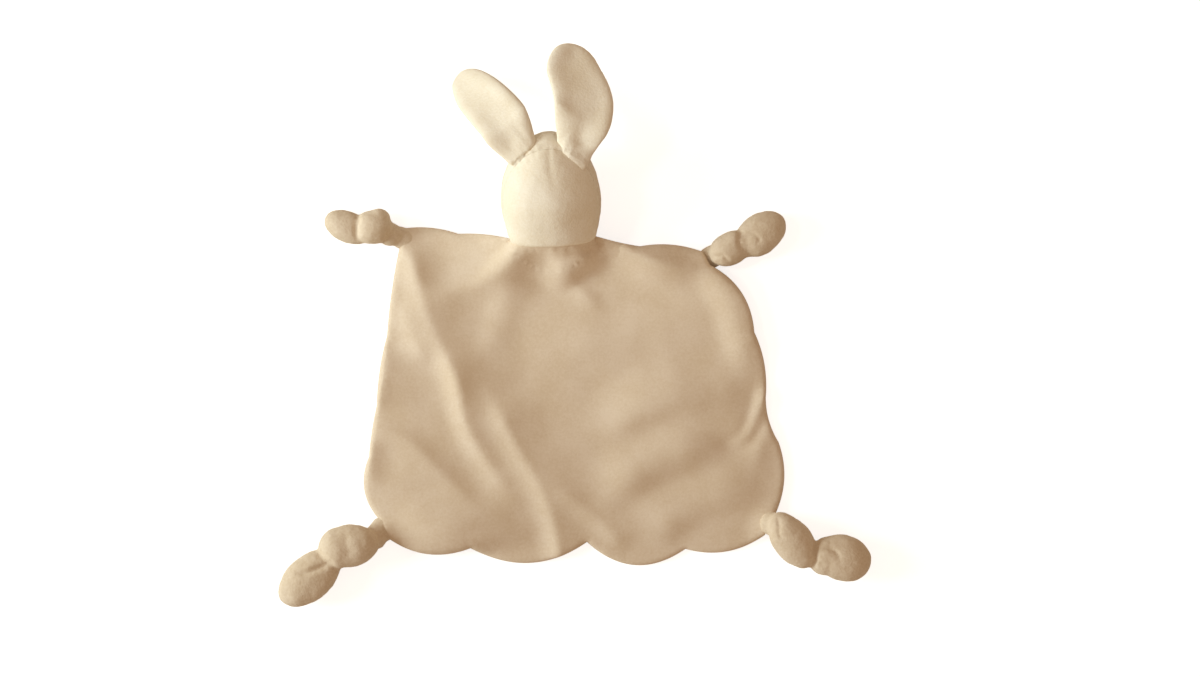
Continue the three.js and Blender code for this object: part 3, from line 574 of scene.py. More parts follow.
def upward_normals(points, triangles, heights):
    """The normals of the whole layer, so that its parts shade as one cloth."""
    slope = made_of("slope", np.c_[points, heights], triangles)
    normal = normals_of(slope)
    bpy.data.objects.remove(slope)
    return normal * np.where(normal[:, 2:3] < 0, -1, 1)


def closed_faces(triangles, count):
    """The triangles of a face, the same turned over for its other side, and the strip between their rims."""
    pairs = {(t[k], t[(k + 1) % 3]): True for t in triangles.tolist() for k in range(3)}
    faces = [*triangles.tolist(), *(triangles[:, ::-1] + count).tolist()]
    return faces + [(b, a, a + count, b + count) for a, b in pairs if (b, a) not in pairs]


def thick_layer(name, points, triangles, heights, full, normal, side):
    """A closed thin piece: its face at the given heights, and its wrong side behind it."""
    used, renumbered = np.unique(triangles, return_inverse=True)
    triangles = renumbered.reshape(-1, 3)
    points, heights, full, normal = points[used], heights[used], full[used], normal[used]
    face = np.c_[points, heights]
    thickness = (KNIT * np.clip(full / (TWO_LAYERS / 2), THINNEST_SHARE, 1))[:, None]
    behind = face - side * normal * thickness
    faces = closed_faces(triangles[:, ::side], len(points))
    piece = made_of(name, np.concatenate([face, behind]), faces)
    uv = piece.data.uv_layers.new(name="cloth")
    flat = np.concatenate([points, points])
    loops = np.zeros(len(piece.data.loops), int)
    piece.data.loops.foreach_get("vertex_index", loops)
    uv.data.foreach_set("uv", flat[loops].ravel())
    smooth(piece)
    both_sides = np.concatenate([side * normal, -side * normal])
    piece.data.normals_split_custom_set_from_vertices([tuple(n) for n in both_sides])
    print(name, len(piece.data.vertices), "points")
    return piece


# %% Make the two layers
def area_of(points, triangles):
    """The area of flat triangles."""
    a, b, c = (points[triangles[:, k]] for k in range(3))
    ab, ac = b - a, c - a
    return float(np.abs(ab[:, 0] * ac[:, 1] - ab[:, 1] * ac[:, 0]).sum() / 2)


def blanket_layer(side, name, neck_name):
    """One layer of the blanket and its part at the neck, each with the area that is cut for it."""
    points, triangles, distance, along = cut_layer(side)
    middle_heights, full = lay(points, distance, along, side)
    at_seam = nearest_on(neck_seam(side)[:, :2], points)[0] < 0.1 * MM
    heights = relaxed(middle_heights, triangles, at_seam) + side * full
    centres = points[triangles].mean(1)
    cut = neck_cut(side)[::-1]
    line_y = np.interp(centres[:, 0], cut[:, 0], cut[:, 1])
    at_neck = (centres[:, 0] > cut[0, 0]) & (centres[:, 0] < cut[-1, 0]) & (centres[:, 1] > line_y)
    normal = upward_normals(points, triangles, heights)
    made = []
    for part_name, part in ((name, triangles[~at_neck]), (neck_name, triangles[at_neck])):
        made.append(thick_layer(part_name, points, part, heights, full, normal, side))
        made.append(area_of(points, part))
    return made


blanket_front, front_area, neck_front, _ = blanket_layer(1, "blanket_front", "neck_front")
blanket_back, back_area, neck_back, neck_back_area = blanket_layer(-1, "blanket_back", "neck_back")

# %% [markdown]
# ## The head
#
# The head is a bag of velour stuffed hard with fibre: egg-shaped, narrow at the neck, with a seam round its
# sides that crosses the crown a little in front. A turned egg would look like plaster. So a slightly smaller
# egg is made from a sphere, and cloth simulation blows it up, which gives the small unevenness of stuffed
# cloth.

# %% The form of the head
HEAD_HALF_WIDTH = 30 * MM
HEAD_HALF_DEPTH = 25 * MM
HEAD_LENGTH = 67 * MM
WIDEST_SHARE = 0.37
CROWN_POWER = 0.56
HEAD_SHRINK = 0.6 * MM
HEAD_VOXEL = 3.0 * MM
NECK_FULLER = 1.4 * MM
NECK_FULLER_REACH = 9 * MM
NECK_TUCK = 1.6 * MM
head_place = Matrix.Translation(neck) @ head_turned


def head_radius(height):
    """Half the head's width at a height over the neck seam."""
    widest = HEAD_LENGTH * WIDEST_SHARE
    up = np.clip((height - widest) / (HEAD_LENGTH - widest), 0, 1)
    down = np.clip(1 - height / widest, 0, 1)
    return np.where(
        height >= widest,
        HEAD_HALF_WIDTH * (1 - up**2) ** CROWN_POWER,
        HEAD_HALF_WIDTH - (HEAD_HALF_WIDTH - NECK_HALF_WIDTH) * down**2,
    )


def egg(name, shrink):
    """The head's form in its own frame, with +Y to the crown and +Z to the front, drawn in by shrink."""
    piece = ball(name, 64, 48)
    p = points_of(piece)
    turn = np.arctan2(p[:, 1], p[:, 0])
    rise = np.arcsin(np.clip(p[:, 2], -1, 1)) / (math.pi / 2)
    # The lowest part of the ball is pressed into a flat foot, tucked into the neck.
    below = rise < -0.5
    height = np.where(below, 0, HEAD_LENGTH * np.sin(np.clip((rise + 0.5) / 1.5, 0, 1) * math.pi / 2))
    fuller = NECK_FULLER * (1 - smoothstep(height, 0, NECK_FULLER_REACH))
    radius = np.maximum(head_radius(height) - shrink + fuller, 0) * np.where(below, (1 + rise) / 0.5, 1)
    shares = [NECK_HALF_DEPTH / NECK_HALF_WIDTH, HEAD_HALF_DEPTH / HEAD_HALF_WIDTH]
    depth = np.interp(height, [0, HEAD_LENGTH * WIDEST_SHARE], shares)
    height = np.where(below, -NECK_TUCK, np.minimum(height, HEAD_LENGTH - shrink))
    move_points(piece, np.c_[radius * np.cos(turn), height, -radius * np.sin(turn) * depth])
    return piece


def remesh(piece, voxel):
    """Joins what overlaps in a piece into one closed skin of even faces."""
    modifier = piece.modifiers.new("Remesh", "REMESH")
    modifier.mode = "VOXEL"
    modifier.voxel_size = voxel
    return apply_all(piece)


head = remesh(egg("head_form", HEAD_SHRINK), HEAD_VOXEL)
print("head's form:", len(head.data.vertices), "points")


# %% Blow it up and bring it to size
SWELL_CAP = 3 * MM


def swell(piece, pressure, cap, steps=20):
    """Blows a closed piece up with Cloth, and lets no point move further than cap."""
    before = points_of(piece)
    only(piece)
    cloth = piece.modifiers.new("Cloth", "CLOTH")
    cloth.settings.quality = 5
    cloth.settings.use_pressure = True
    cloth.settings.uniform_pressure_force = pressure
    cloth.settings.effector_weights.gravity = 0
    cloth.settings.tension_stiffness = 12
    cloth.settings.bending_stiffness = 0.4
    scene = bpy.context.scene
    cloth.point_cache.frame_start, cloth.point_cache.frame_end = 1, steps
    for step in range(1, steps + 1):
        scene.frame_set(step)
    bpy.ops.object.modifier_apply(modifier=cloth.name)
    scene.frame_set(1)
    moved = points_of(piece) - before
    far = np.linalg.norm(moved, axis=1)[:, None]
    move_points(piece, before + moved * np.minimum(1, cap / np.maximum(far, 1e-9)))
    print(piece.name, "swelled by up to", round(float(far.max()) / MM, 1), "mm")
    return piece


swell(head, 4, SWELL_CAP)
subdivide = head.modifiers.new("Subdivision", "SUBSURF")
subdivide.levels = subdivide.render_levels = 2
apply_all(head)
p = points_of(head)
fit = [HEAD_HALF_WIDTH / np.abs(p[:, 0]).max(), 1, HEAD_HALF_DEPTH / np.abs(p[:, 2]).max()]
print("head brought to size by", [round(float(share), 3) for share in fit])
move_points(head, p * fit)

# %% [markdown]
# The seam's groove, the small puckers beside it, the drawn-in crown and the soft creases below it are
# sculpted after the cloth is blown up, because the remesh would have wiped them out.

# %% Sculpt the seam and the crown
SEAM_TILT = math.radians(12)


def dent(points, line, depth, width):
    """How deep a groove along a line of the head, given as (x, y) in millimetres, is at each point."""
    distance, along, _ = nearest_on(through(np.array(line) * MM), points[:, :2])
    ends = smoothstep(along, 0, 0.2) * (1 - smoothstep(along, 0.5, 1))
    return depth * MM * ends * np.exp(-((distance / (width * MM)) ** 2))


p, n = points_of(head), normals_of(head)
off_seam = p[:, 2] * math.cos(SEAM_TILT) - p[:, 1] * math.sin(SEAM_TILT)
round_about = np.arctan2(p[:, 0], p[:, 1] - HEAD_LENGTH * WIDEST_SHARE)
groove = 0.3 * MM * np.exp(-((off_seam / (0.8 * MM)) ** 2))
pucker = 0.12 * MM * np.sin(round_about * 46) * np.exp(-np.abs(off_seam) / (3 * MM))
front = (p[:, 2] > 0).astype(float)
crown = front * dent(p, [(1, 63), (0.5, 58), (1, 50), (2, 42), (2.5, 32)], 0.5, 2.6)
crown += front * dent(p, [(0, 61), (-4, 59.5), (-9, 56), (-14, 51)], 0.35, 1.6)
crown += front * dent(p, [(2, 61), (7, 58), (12, 54)], 0.3, 1.6)
lumps = soft_noise(p, 15 * MM, 3) * 0.45 * MM + soft_noise(p, 5 * MM, 4) * 0.12 * MM
move_points(head, p + n * (lumps - groove - pucker - crown)[:, None])
print("deepest crease at the crown in mm:", round(float(crown.max()) / MM, 2))

# %% [markdown]
# The real head is two panels over a filling, so the form is cut along the seam into two thin shells, and
# what is left, drawn in a little, is the filling. The skin of the whole form is kept for the ears, which are
# laid on it.

# %% Cut the head into its two panels
PANEL = 1.1 * MM
SEAM_GAP = 0.05 * MM
FILLING_GAP = 1.8 * MM
FILLING_FOOT = 1.5 * MM


def half_of(piece, name, way):
    """A copy of a closed piece with what lies behind a plane cut off, as a thin panel."""
    copy = only(placed(name, piece.data.copy()))
    copy.data.name = name
    bpy.ops.object.mode_set(mode="EDIT")
    bpy.ops.mesh.select_all(action="SELECT")
    bpy.ops.mesh.bisect(plane_co=way * SEAM_GAP, plane_no=way, clear_inner=True)
    bpy.ops.object.mode_set(mode="OBJECT")
    shell = copy.modifiers.new("Solidify", "SOLIDIFY")
    shell.thickness = PANEL
    shell.offset = -1
    return smooth(apply_all(copy))


faces = [tuple(face.vertices) for face in head.data.polygons]
head_skin = BVHTree.FromPolygons([head_place @ v.co for v in head.data.vertices], faces)
seam_way = Vector((0, -math.sin(SEAM_TILT), math.cos(SEAM_TILT)))
head_front = half_of(head, "head_front", seam_way)
head_back = half_of(head, "head_back", -seam_way)
head_filling = head
head_filling.name = head_filling.data.name = "head_filling"
p = points_of(head_filling) - normals_of(head_filling) * FILLING_GAP
p[:, 1] = np.maximum(p[:, 1], FILLING_FOOT)
move_points(head_filling, p)
for piece in (head_front, head_back, head_filling):
    piece.data.transform(head_place)
print("head panels:", len(head_front.data.vertices), len(head_back.data.vertices), "points")

# %% [markdown]
# ## The ears
#
# An ear is a long petal of two layers with a thin wadding, sewn, turned and caught in the head's seam by its
# root. It isn't flat: its full rim stands above its middle, where the two layers are pressed together, and
# the valley runs up from the root. The pattern is drawn as a closed line, in the ear's own frame, and filled
# like the blanket. The distance to the edge then gives the round of the rim, which keeps it even all the way
# along the curve.

# %% The patterns of the ears
# In millimetres, with the fold line at the head along x, and anticlockwise from the right end of the root.
# Roll is how fast the ear rises to the right and to its tip, root is where its lowest line lies, and a crease
# is a line, its depth and its half width.
ears = {
    "left": {
        "side": -1, "lean": 46, "tip": (-1, 70), "lift": 5.5, "valley": 2.2, "roll": (-0.14, 0), "root": 2,
        "pattern": [
            (12.8, 1.5), (17.4, 7.5), (20.8, 15), (21.7, 24), (20.2, 38), (16.8, 52), (12, 64), (6, 71),
            (-1, 72.6), (-7.4, 67.5), (-10.2, 54), (-9.8, 38), (-9, 22), (-10, 12), (-10.8, 3.5),
            (-4.6, 0.2), (4.4, -0.4),
        ],
        "creases": [
            ([(0.5, 2), (2.5, 14), (3.5, 27), (2.5, 40)], 0.5, 4),
            ([(9.5, 2), (10.5, 9), (9.5, 17)], 0.5, 1.6),
        ],
    },
    "right": {
        "side": 1, "lean": 40, "tip": (-37, 48), "lift": 4, "valley": 2, "roll": (0.22, 0.18), "root": -1,
        "pattern": [
            (10.2, -4.4), (12.5, -0.3), (10.2, 6), (7.6, 11.4), (6.6, 17.2), (4.2, 24.6), (-0.8, 33),
            (-8.8, 41.4), (-18.2, 48), (-26.5, 53.2), (-34.8, 54.8), (-42.3, 52), (-46.5, 46),
            (-46.5, 37.5), (-43.3, 30), (-37.7, 24), (-32.3, 18.5), (-26.3, 10.5), (-17.6, 3.6),
            (-11, -2.4), (-4.3, -5.1), (2.4, -5.1),
        ],
        "creases": [
            ([(9.5, 11), (5, 9.5), (-1, 7), (-7, 6)], 1.5, 1.8),
            ([(2.5, -3), (-1.5, 4), (-7.5, 12), (-14, 20)], 0.8, 4),
        ],
    },
}
EAR_SPLAY = math.radians(42)


def ear_place(which):
    """The ear's own frame: root along X at its hinge, growing along +Y, front to +Z."""
    joint, form = joints[f"ear_{which}_fold"], ears[which]
    turned = head_turned @ Matrix.Rotation(-form["side"] * EAR_SPLAY, 4, "Z")
    turned = turned @ Matrix.Rotation(math.radians(-form["lean"]), 4, "X")
    return Matrix.Translation(Vector(joint["pos_m"])) @ turned


def closed_line(places, spacing):
    """An evenly spaced closed curve through places, by Catmull-Rom."""
    ring = np.array([*places, *places[:3]], float) * MM
    line = through(ring, 16)[16 : 16 * (len(places) + 1)]
    length = np.r_[0, np.cumsum(np.linalg.norm(np.diff(line, axis=0, append=line[:1]), axis=1))]
    wanted = np.linspace(0, length[-1], round(length[-1] / spacing), endpoint=False)
    line = np.r_[line, line[:1]]
    return np.stack([np.interp(wanted, length, line[:, k]) for k in (0, 1)], axis=1)


for which, form in ears.items():
    print(which, "ear:", len(closed_line(form["pattern"], 1.3 * MM)), "points round its edge")

# %% [markdown]
# The root of an ear has to lie on the head. A flat root would float over the round crown or cut into it, so
# the root's back is moved to the nearest place on the head's skin, sunk in by ROOT_SINK at the very root, as
# a stitch pulls it, and the rest of the ear follows less and less over ROOT_REACH.

# %% Lay the root of an ear on the head
ROOT_REACH = 16 * MM
ROOT_SINK = 0.7 * MM
ROOT_RISE = 0.9 * MM
ROOT_RISE_REACH = 6 * MM


def seated(flat, back, root, place):
    """How far each point of an ear moves, in its own frame, so that the root's back lies on the head."""
    moved = np.zeros((len(flat), 3))
    near = 1 - smoothstep(flat[:, 1], root, root + ROOT_REACH)
    height = ROOT_RISE * smoothstep(flat[:, 1], root, root + ROOT_RISE_REACH) - ROOT_SINK
    turn_back = place.to_3x3().inverted()
    for k in np.flatnonzero(near > 0):
        spot = place @ Vector((*flat[k], back[k]))
        touch, way, _, _ = head_skin.find_nearest(spot)
        moved[k] = (turn_back @ (touch + way * height[k] - spot)) * near[k]
    return moved


def between(name, flat, top, bottom, triangles, moved):
    """A closed piece between two heights over the same triangles."""
    used, renumbered = np.unique(triangles, return_inverse=True)
    flat, top, bottom, moved = flat[used], top[used], bottom[used], moved[used]
    faces = closed_faces(renumbered.reshape(-1, 3), len(flat))
    return made_of(name, np.r_[np.c_[flat, top] + moved, np.c_[flat, bottom] + moved], faces)


# %% Make the ears
EAR_THICKNESS = 6.4 * MM
EAR_RIM = 7.5 * MM
EAR_LENGTH = 70 * MM
EAR_ROWS = np.array([0.35, 0.9, 1.7, 2.8]) * MM
WADDING_GAP = 0.2 * MM


def ear(which):
    """Front panel, back panel and wadding of one ear."""
    form, place = ears[which], ear_place(which)
    edge = closed_line(form["pattern"], 1.3 * MM)
    flat, triangles = fill(edge, 1.7 * MM, EAR_ROWS)
    distance, round_edge = edge_distance(flat, edge, np.ones(len(edge), bool))
    rim = np.clip(distance / EAR_RIM, 0, 1)
    up = np.clip(flat[:, 1] / (28 * MM), 0, 1)
    half = EAR_THICKNESS / 2 * np.sqrt(1 - (1 - rim) ** 2) * (0.62 + 0.38 * up)
    far = np.linalg.norm(flat - np.array(form["tip"]) * MM, axis=1) / EAR_LENGTH
    arch = form["lift"] * MM * np.sin(np.clip(far, 0, 1) * math.pi) * smoothstep(flat[:, 1], -4 * MM, 16 * MM)
    cup = form["valley"] * MM * np.exp(-((distance / (7 * MM)) ** 2)) * smoothstep(far, 0.1, 0.6)
    cup *= smoothstep(flat[:, 1], -3 * MM, 14 * MM)
    lean = (flat @ np.array(form["roll"])) * smoothstep(flat[:, 1], 0, 22 * MM)
    middle_height = arch + cup + lean + soft_noise(flat, 13 * MM, 7) * 0.5 * MM
    deep = np.zeros(len(flat))
    for line, depth, width in form["creases"]:
        off, along, _ = nearest_on(through(np.array(line) * MM), flat)
        deep += depth * MM * (1 - smoothstep(along, 0.5, 1)) * np.exp(-((off / (width * MM)) ** 2))
    pucker = 0.1 * MM * np.sin(round_edge / (0.8 * MM)) * np.exp(-distance / (2.2 * MM))
    face = middle_height + half - deep * rim + pucker
    back = middle_height - half - 0.4 * deep * rim
    inner = np.minimum(PANEL, 0.8 * half)
    core = triangles[(distance > 2.2 * MM)[triangles].all(1)]
    moved = seated(flat, back, form["root"] * MM, place)
    top, bottom = face - inner, back + inner
    core_top, core_bottom = top - WADDING_GAP, bottom + WADDING_GAP
    parts = {
        "front": between(f"ear_{which}_front", flat, face, top, triangles, moved),
        "back": between(f"ear_{which}_back", flat, bottom, back, triangles, moved),
        "wadding": between(f"ear_{which}_filling", flat, core_top, core_bottom, core, moved),
    }
    for part in parts.values():
        part.data.transform(place)
        smooth(part)
        print(part.name, len(part.data.vertices), "points")
    return parts


made_ears = {which: ear(which) for which in ears}

# %% [markdown]
# ## The knots and paws
#
# Each corner of the blanket, gathered, is about as thick as a finger. It is tied in a loose overhand knot,
# which shows from above as one fat band that wraps over the strand on a slant, with a hollow on either side
# where the strand goes in and comes out. Beyond it the corner's end stays open as a paw, round at its tip
# and drawn in at the knot. Such a knot could be swept along its real route, but then it looks like rope:
# gathered velour fills every gap. So it is built from overlapping soft rolls, joined by one voxel remesh,
# and smoothed until only the deep creases stay.

# %% The rolls that a knot is made of
# In the tie's own frame and in millimetres: x out along the tie, y aside, z up, then the three half sizes of
# the roll and its turn in degrees. A crease is a line of (x, y), its depth and its half width.
knots = {
    "hand_left": {
        "rolls": [
            (-2, 1.5, 4, 8, 6.8, 3.4, 0), (5, 1.2, 6.4, 7.4, 7.4, 5, 0),
            (15.6, -0.4, 9.2, 12, 10.4, 8.6, 14), (13.8, -6, 9.4, 7.4, 6.6, 6.4, 14),
            (30.5, 3, 7.2, 15, 9.6, 6.6, -8),
        ],
        "creases": [
            ([(27.6, -8), (25.6, -3), (25.4, 3), (22.5, 10)], 1.7, 1.5),
            ([(7.5, -2), (6, 1), (2, 2.4), (-2, 1.6)], 0.6, 1),
            ([(19, -12), (20.5, -8), (24, -6)], 0.4, 1.3),
        ],
    },
    "hand_right": {
        "rolls": [
            (1, -0.6, 4, 9, 7.2, 3.6, 0), (13.4, -1.8, 8.8, 14, 10.2, 8.2, -4), (17, 0, 10.8, 9, 7, 6, -19),
            (33, -2.9, 8.8, 17.4, 12.2, 7.8, 6),
        ],
        "creases": [
            ([(-1, 0), (2.5, -1.5), (7, -4), (8.4, -9)], 1.2, 1.1),
            ([(25, 7), (20.6, 1), (19, -4), (22, -12)], 1.3, 1.4),
            ([(23.5, 1), (28.3, -0.4), (30.6, -5), (27, -8)], 0.9, 1.2),
        ],
    },
    "foot_left": {
        "rolls": [
            (-2, -0.4, 3.8, 9, 8, 3.4, 0), (4, 1.6, 5.4, 7, 8, 4.6, -20),
            (20.8, -1, 11.2, 18.6, 13, 9.8, -20), (27.4, -2.6, 11.4, 11, 12.2, 9.8, -20),
            (50.6, 5.6, 9.2, 22, 13.6, 8.8, 14),
        ],
        "creases": [
            ([(39.5, -8), (37, -3), (34.4, 4), (31.5, 13)], 0.9, 1.8),
            ([(35, 3.4), (42.6, 2.6), (50.6, 1.6), (57, -2.5)], 1.7, 1.7),
            ([(17, -11), (21, -3), (23, 8)], 0.5, 2.6),
        ],
    },
    "foot_right": {
        "rolls": [
            (-2, 1.5, 6, 7.2, 7.2, 4.6, 0), (13.9, -1.8, 10.6, 18.6, 12, 9.4, -25),
            (5, 2.6, 9.4, 10.4, 8.6, 7.4, -13), (45.3, 2.7, 9.4, 17.6, 14, 8.6, 9),
            (36, -0.9, 9.4, 10.6, 12, 8, 9),
        ],
        "creases": [
            ([(23, 11), (27, 2), (30.5, -6), (32, -13)], 1.8, 1.6),
            ([(29.7, 1.8), (35.5, 4.4), (40, 4), (44, 0.5)], 1.2, 1.3),
            ([(-1, 6.5), (1.5, 3.5), (4.8, -2.4), (9.3, -2.1)], 1.1, 1.1),
            ([(33, -6), (38, -7)], 0.7, 1.2),
        ],
    },
}
print("rolls in each knot:", [len(form["rolls"]) for form in knots.values()])


# %% Make the knots
KNOT_VOXEL = 1.0 * MM
TABLE_PRESS = 1.2 * MM  # the cloth below this height is pressed flat on the table
TABLE_GAP = 0.4 * MM


def ellipsoid(x, y, z, a, b, c, turn):
    """One soft roll of the knot, in millimetres and degrees."""
    roll = ball("roll", 40, 24)
    place = Matrix.Translation(Vector((x, y, z)) * MM) @ Matrix.Rotation(math.radians(turn), 4, "Z")
    roll.data.transform(place @ Matrix.Diagonal((a * MM, b * MM, c * MM, 1)))
    return roll


def tie(name):
    """The knot and paw of one corner."""
    joint, form = joints[f"tie_{name}_fold"], knots[name]
    out = Vector((-joint["axis"][1], joint["axis"][0], 0))
    aside = Vector((0, 0, 1)).cross(out)
    place = Matrix((out, aside, Vector((0, 0, 1)))).transposed().to_4x4()
    place.translation = Vector((joint["pos_m"][0], joint["pos_m"][1], 0))
    rolls = [ellipsoid(*roll) for roll in form["rolls"]]
    bpy.ops.object.select_all(action="DESELECT")
    for part in rolls:
        part.select_set(True)
    bpy.context.view_layer.objects.active = rolls[0]
    bpy.ops.object.join()
    piece = bpy.context.object
    piece.name = piece.data.name = f"tie_{name}_knot"
    remesh(piece, KNOT_VOXEL)
    relax = piece.modifiers.new("Smooth", "SMOOTH")
    relax.factor, relax.iterations = 0.5, 9
    apply_all(piece)
    p, n = points_of(piece), normals_of(piece)
    upward = np.maximum(n[:, 2], 0)
    deep = np.zeros(len(p))
    for line, depth, width in form["creases"]:
        distance, along, _ = nearest_on(through(np.array(line) * MM), p[:, :2])
        ends = smoothstep(along, 0, 0.3) * (1 - smoothstep(along, 0.7, 1))
        deep += depth * MM * (0.15 + 0.85 * ends) * np.exp(-((distance / (width * MM)) ** 2)) * upward
    lumps = soft_noise(p, 9 * MM, 5) * 0.5 * MM + soft_noise(p, 3.4 * MM, 6) * 0.2 * MM
    p = p + n * (lumps - deep)[:, None]
    p[:, 2] = np.where(p[:, 2] < TABLE_PRESS, TABLE_GAP + 0.5 * np.maximum(p[:, 2], 0), p[:, 2])
    move_points(piece, p)
    piece.data.transform(place)
    print(piece.name, len(p), "points")
    return smooth(piece)


ties = {name: tie(name) for name in knots}

# %% [markdown]
# ## Velour
#
# Knitted velour is a cotton and polyester knit whose loops are cut into a short pile. It has no gloss at
# all. The pile gives it a pale bloom where it is seen edge on, which is sheen, and a surface that is never
# quite even: it lies one way or the other, in soft patches. Rows of the knit show as fine ribs through the
# flat cloth of the blanket. A flat colour would look like felt or plaster, so the colour and the bump are
# both mixed from noise of the pile's size.


# %% Helpers for materials
def linear(code):
    """A linear colour from an sRGB hex code."""
    values = [int(code[k : k + 2], 16) / 255 for k in (1, 3, 5)]
    return (*[c / 12.92 if c <= 0.04045 else ((c + 0.055) / 1.055) ** 2.4 for c in values], 1)


def node(tree, kind, settings=None, links=None, **inputs):
    """Adds a node: its settings, its input values by name, and links into it as {input: output socket}."""
    made = tree.nodes.new(kind)
    for key, value in (settings or {}).items():
        setattr(made, key, value)
    for key, value in inputs.items():
        made.inputs[key.replace("_", " ")].default_value = value
    for key, socket in (links or {}).items():
        tree.links.new(socket, made.inputs[key])
    return made


def new_material(name):
    """An empty material and its node tree."""
    material = bpy.data.materials.new(name)
    material.use_nodes = True
    material.node_tree.nodes.clear()
    return material, material.node_tree


def wave_scale(pitch):
    """The Scale of a wave texture whose upright or level bands repeat at this pitch."""
    return math.tau / 20 / pitch


# %% The velour
PATCHES = 22 * MM
PILE = 1.5 * MM
RIB_PITCH = 3 * MM


def velour(name, base, deep, ribbed, fuzz=1.0):
    """Velour with patches and tufts of two colours, a pile as deep as fuzz says, and ribs along its UV."""
    material, tree = new_material(name)
    place = node(tree, "ShaderNodeTexCoord")
    solid = {"Vector": place.outputs["Object"]}
    patches = node(tree, "ShaderNodeTexNoise", {}, solid, Scale=1 / PATCHES, Detail=3.0, Roughness=0.55)
    tufts = node(tree, "ShaderNodeTexNoise", {}, solid, Scale=1 / PILE, Detail=2.0, Roughness=0.6)
    both = {2: patches.outputs["Fac"], 3: tufts.outputs["Fac"]}
    mixed = node(tree, "ShaderNodeMix", {"data_type": "FLOAT"}, both, Factor=0.45)
    ramp = node(tree, "ShaderNodeValToRGB", {}, {"Fac": mixed.outputs[0]})
    low, high = ramp.color_ramp.elements
    low.position, high.position = 0.36, 0.62
    low.color, high.color = linear(deep), linear(base)
    height = {"Height": tufts.outputs["Fac"]}
    bump = node(tree, "ShaderNodeBump", {}, height, Strength=0.3 * fuzz, Distance=0.8 * MM)
    if ribbed:
        ribs = node(
            tree, "ShaderNodeTexWave", {"bands_direction": "Y"}, {"Vector": place.outputs["UV"]},
            Scale=wave_scale(RIB_PITCH), Distortion=2.0, Detail=1.0, Detail_Scale=1.5,
        )
        height = {"Height": ribs.outputs["Fac"]}
        under = node(tree, "ShaderNodeBump", {}, height, Strength=0.2, Distance=0.2 * MM)
        tree.links.new(under.outputs["Normal"], bump.inputs["Normal"])
    shader = node(
        tree, "ShaderNodeBsdfPrincipled", {},
        {"Base Color": ramp.outputs["Color"], "Normal": bump.outputs["Normal"]},
        Roughness=0.95, Specular_IOR_Level=0.12,
        Sheen_Weight=0.35, Sheen_Roughness=0.45, Sheen_Tint=linear("#FFF3DC"),
    )
    node(tree, "ShaderNodeOutputMaterial", {}, {"Surface": shader.outputs["BSDF"]})
    return material


blanket_velour = velour("cream_knitted_velour", "#E8D9C5", "#DDCBB2", True, 0.5)
# The head and the ears get a lighter cream than the blanket. This is painted light, for the light that falls
# brighter on them: the real toy is one cloth of one colour.
head_velour_painted_light = velour("cream_velour_painted_light_on_head", "#F5EDDD", "#EEE3CD", False)
# The knots get a darker cream than the blanket. This is painted shade, for the light that falls off at the
# corners: the real toy is one cloth of one colour.
knot_velour_painted_shade = velour("cream_velour_painted_shade_on_knots", "#E4D5C0", "#D6C4AA", False, 1.2)
print("velours:", blanket_velour.name, head_velour_painted_light.name, knot_velour_painted_shade.name)

# %% [markdown]
# The filling and the gathering thread are inside, where nothing shows them, but they are real pieces and get
# the finish of theirs: matted white fibre, and a twisted thread.


# %% The filling and the thread
def bumped(name, colour, grain_kind, settings, strength, depth, roughness, sheen, **inputs):
    """A material of one colour, with a bump from one texture."""
    material, tree = new_material(name)
    place = node(tree, "ShaderNodeTexCoord")
    grain = node(tree, grain_kind, settings, {"Vector": place.outputs["Object"]}, **inputs)
    height = {"Height": grain.outputs["Fac"]}
    bump = node(tree, "ShaderNodeBump", {}, height, Strength=strength, Distance=depth)
    shader = node(
        tree, "ShaderNodeBsdfPrincipled", {}, {"Normal": bump.outputs["Normal"]},
        Base_Color=linear(colour), Roughness=roughness, Sheen_Weight=sheen,
    )
    node(tree, "ShaderNodeOutputMaterial", {}, {"Surface": shader.outputs["BSDF"]})
    return material


filling = bumped(
    "polyester_fibre_filling", "#F4F2EC", "ShaderNodeTexNoise", {}, 0.6, 0.6 * MM, 0.9, 0.3,
    Scale=1 / (1.2 * MM), Detail=4.0, Distortion=1.5,
)
sewing_thread = bumped(
    "buttonhole_thread_twisted", "#E0CDAE", "ShaderNodeTexWave", {"bands_direction": "DIAGONAL"},
    0.7, 0.12 * MM, 0.6, 0, Scale=wave_scale(1.2 * MM),
)
print("inside:", filling.name, sewing_thread.name)


# %% Dress the pieces
def dressed(piece, material):
    """Gives a piece its one material and the slot that it fills."""
    piece.data.materials.clear()
    piece.data.materials.append(material)


for piece in (blanket_front, blanket_back, neck_front, neck_back):
    dressed(piece, blanket_velour)
for piece in (head_front, head_back):
    dressed(piece, head_velour_painted_light)
for parts in made_ears.values():
    dressed(parts["front"], head_velour_painted_light)
    dressed(parts["back"], head_velour_painted_light)
for piece in ties.values():
    dressed(piece, knot_velour_painted_shade)
for piece in (head_filling, made_ears["left"]["wadding"], made_ears["right"]["wadding"]):
    dressed(piece, filling)
thread = frame["nodes"]["neck_gathering_thread"]
thread.data.materials.clear()
thread.data.materials.append(sewing_thread)
print("materials:", len(bpy.data.materials))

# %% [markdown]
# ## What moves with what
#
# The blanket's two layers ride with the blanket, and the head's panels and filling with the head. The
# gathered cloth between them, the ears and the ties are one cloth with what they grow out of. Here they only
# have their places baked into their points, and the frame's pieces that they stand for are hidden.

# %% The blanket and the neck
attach(blanket_front, "blanket")
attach(blanket_back, "blanket")
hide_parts("blanket_front_panel")
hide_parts("blanket_back_panel")

for piece, side in ((neck_front, 1), (neck_back, -1)):
    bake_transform(piece)
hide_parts("neck_gather")
print("area of the blanket's front in square mm:", round(front_area / MM**2))

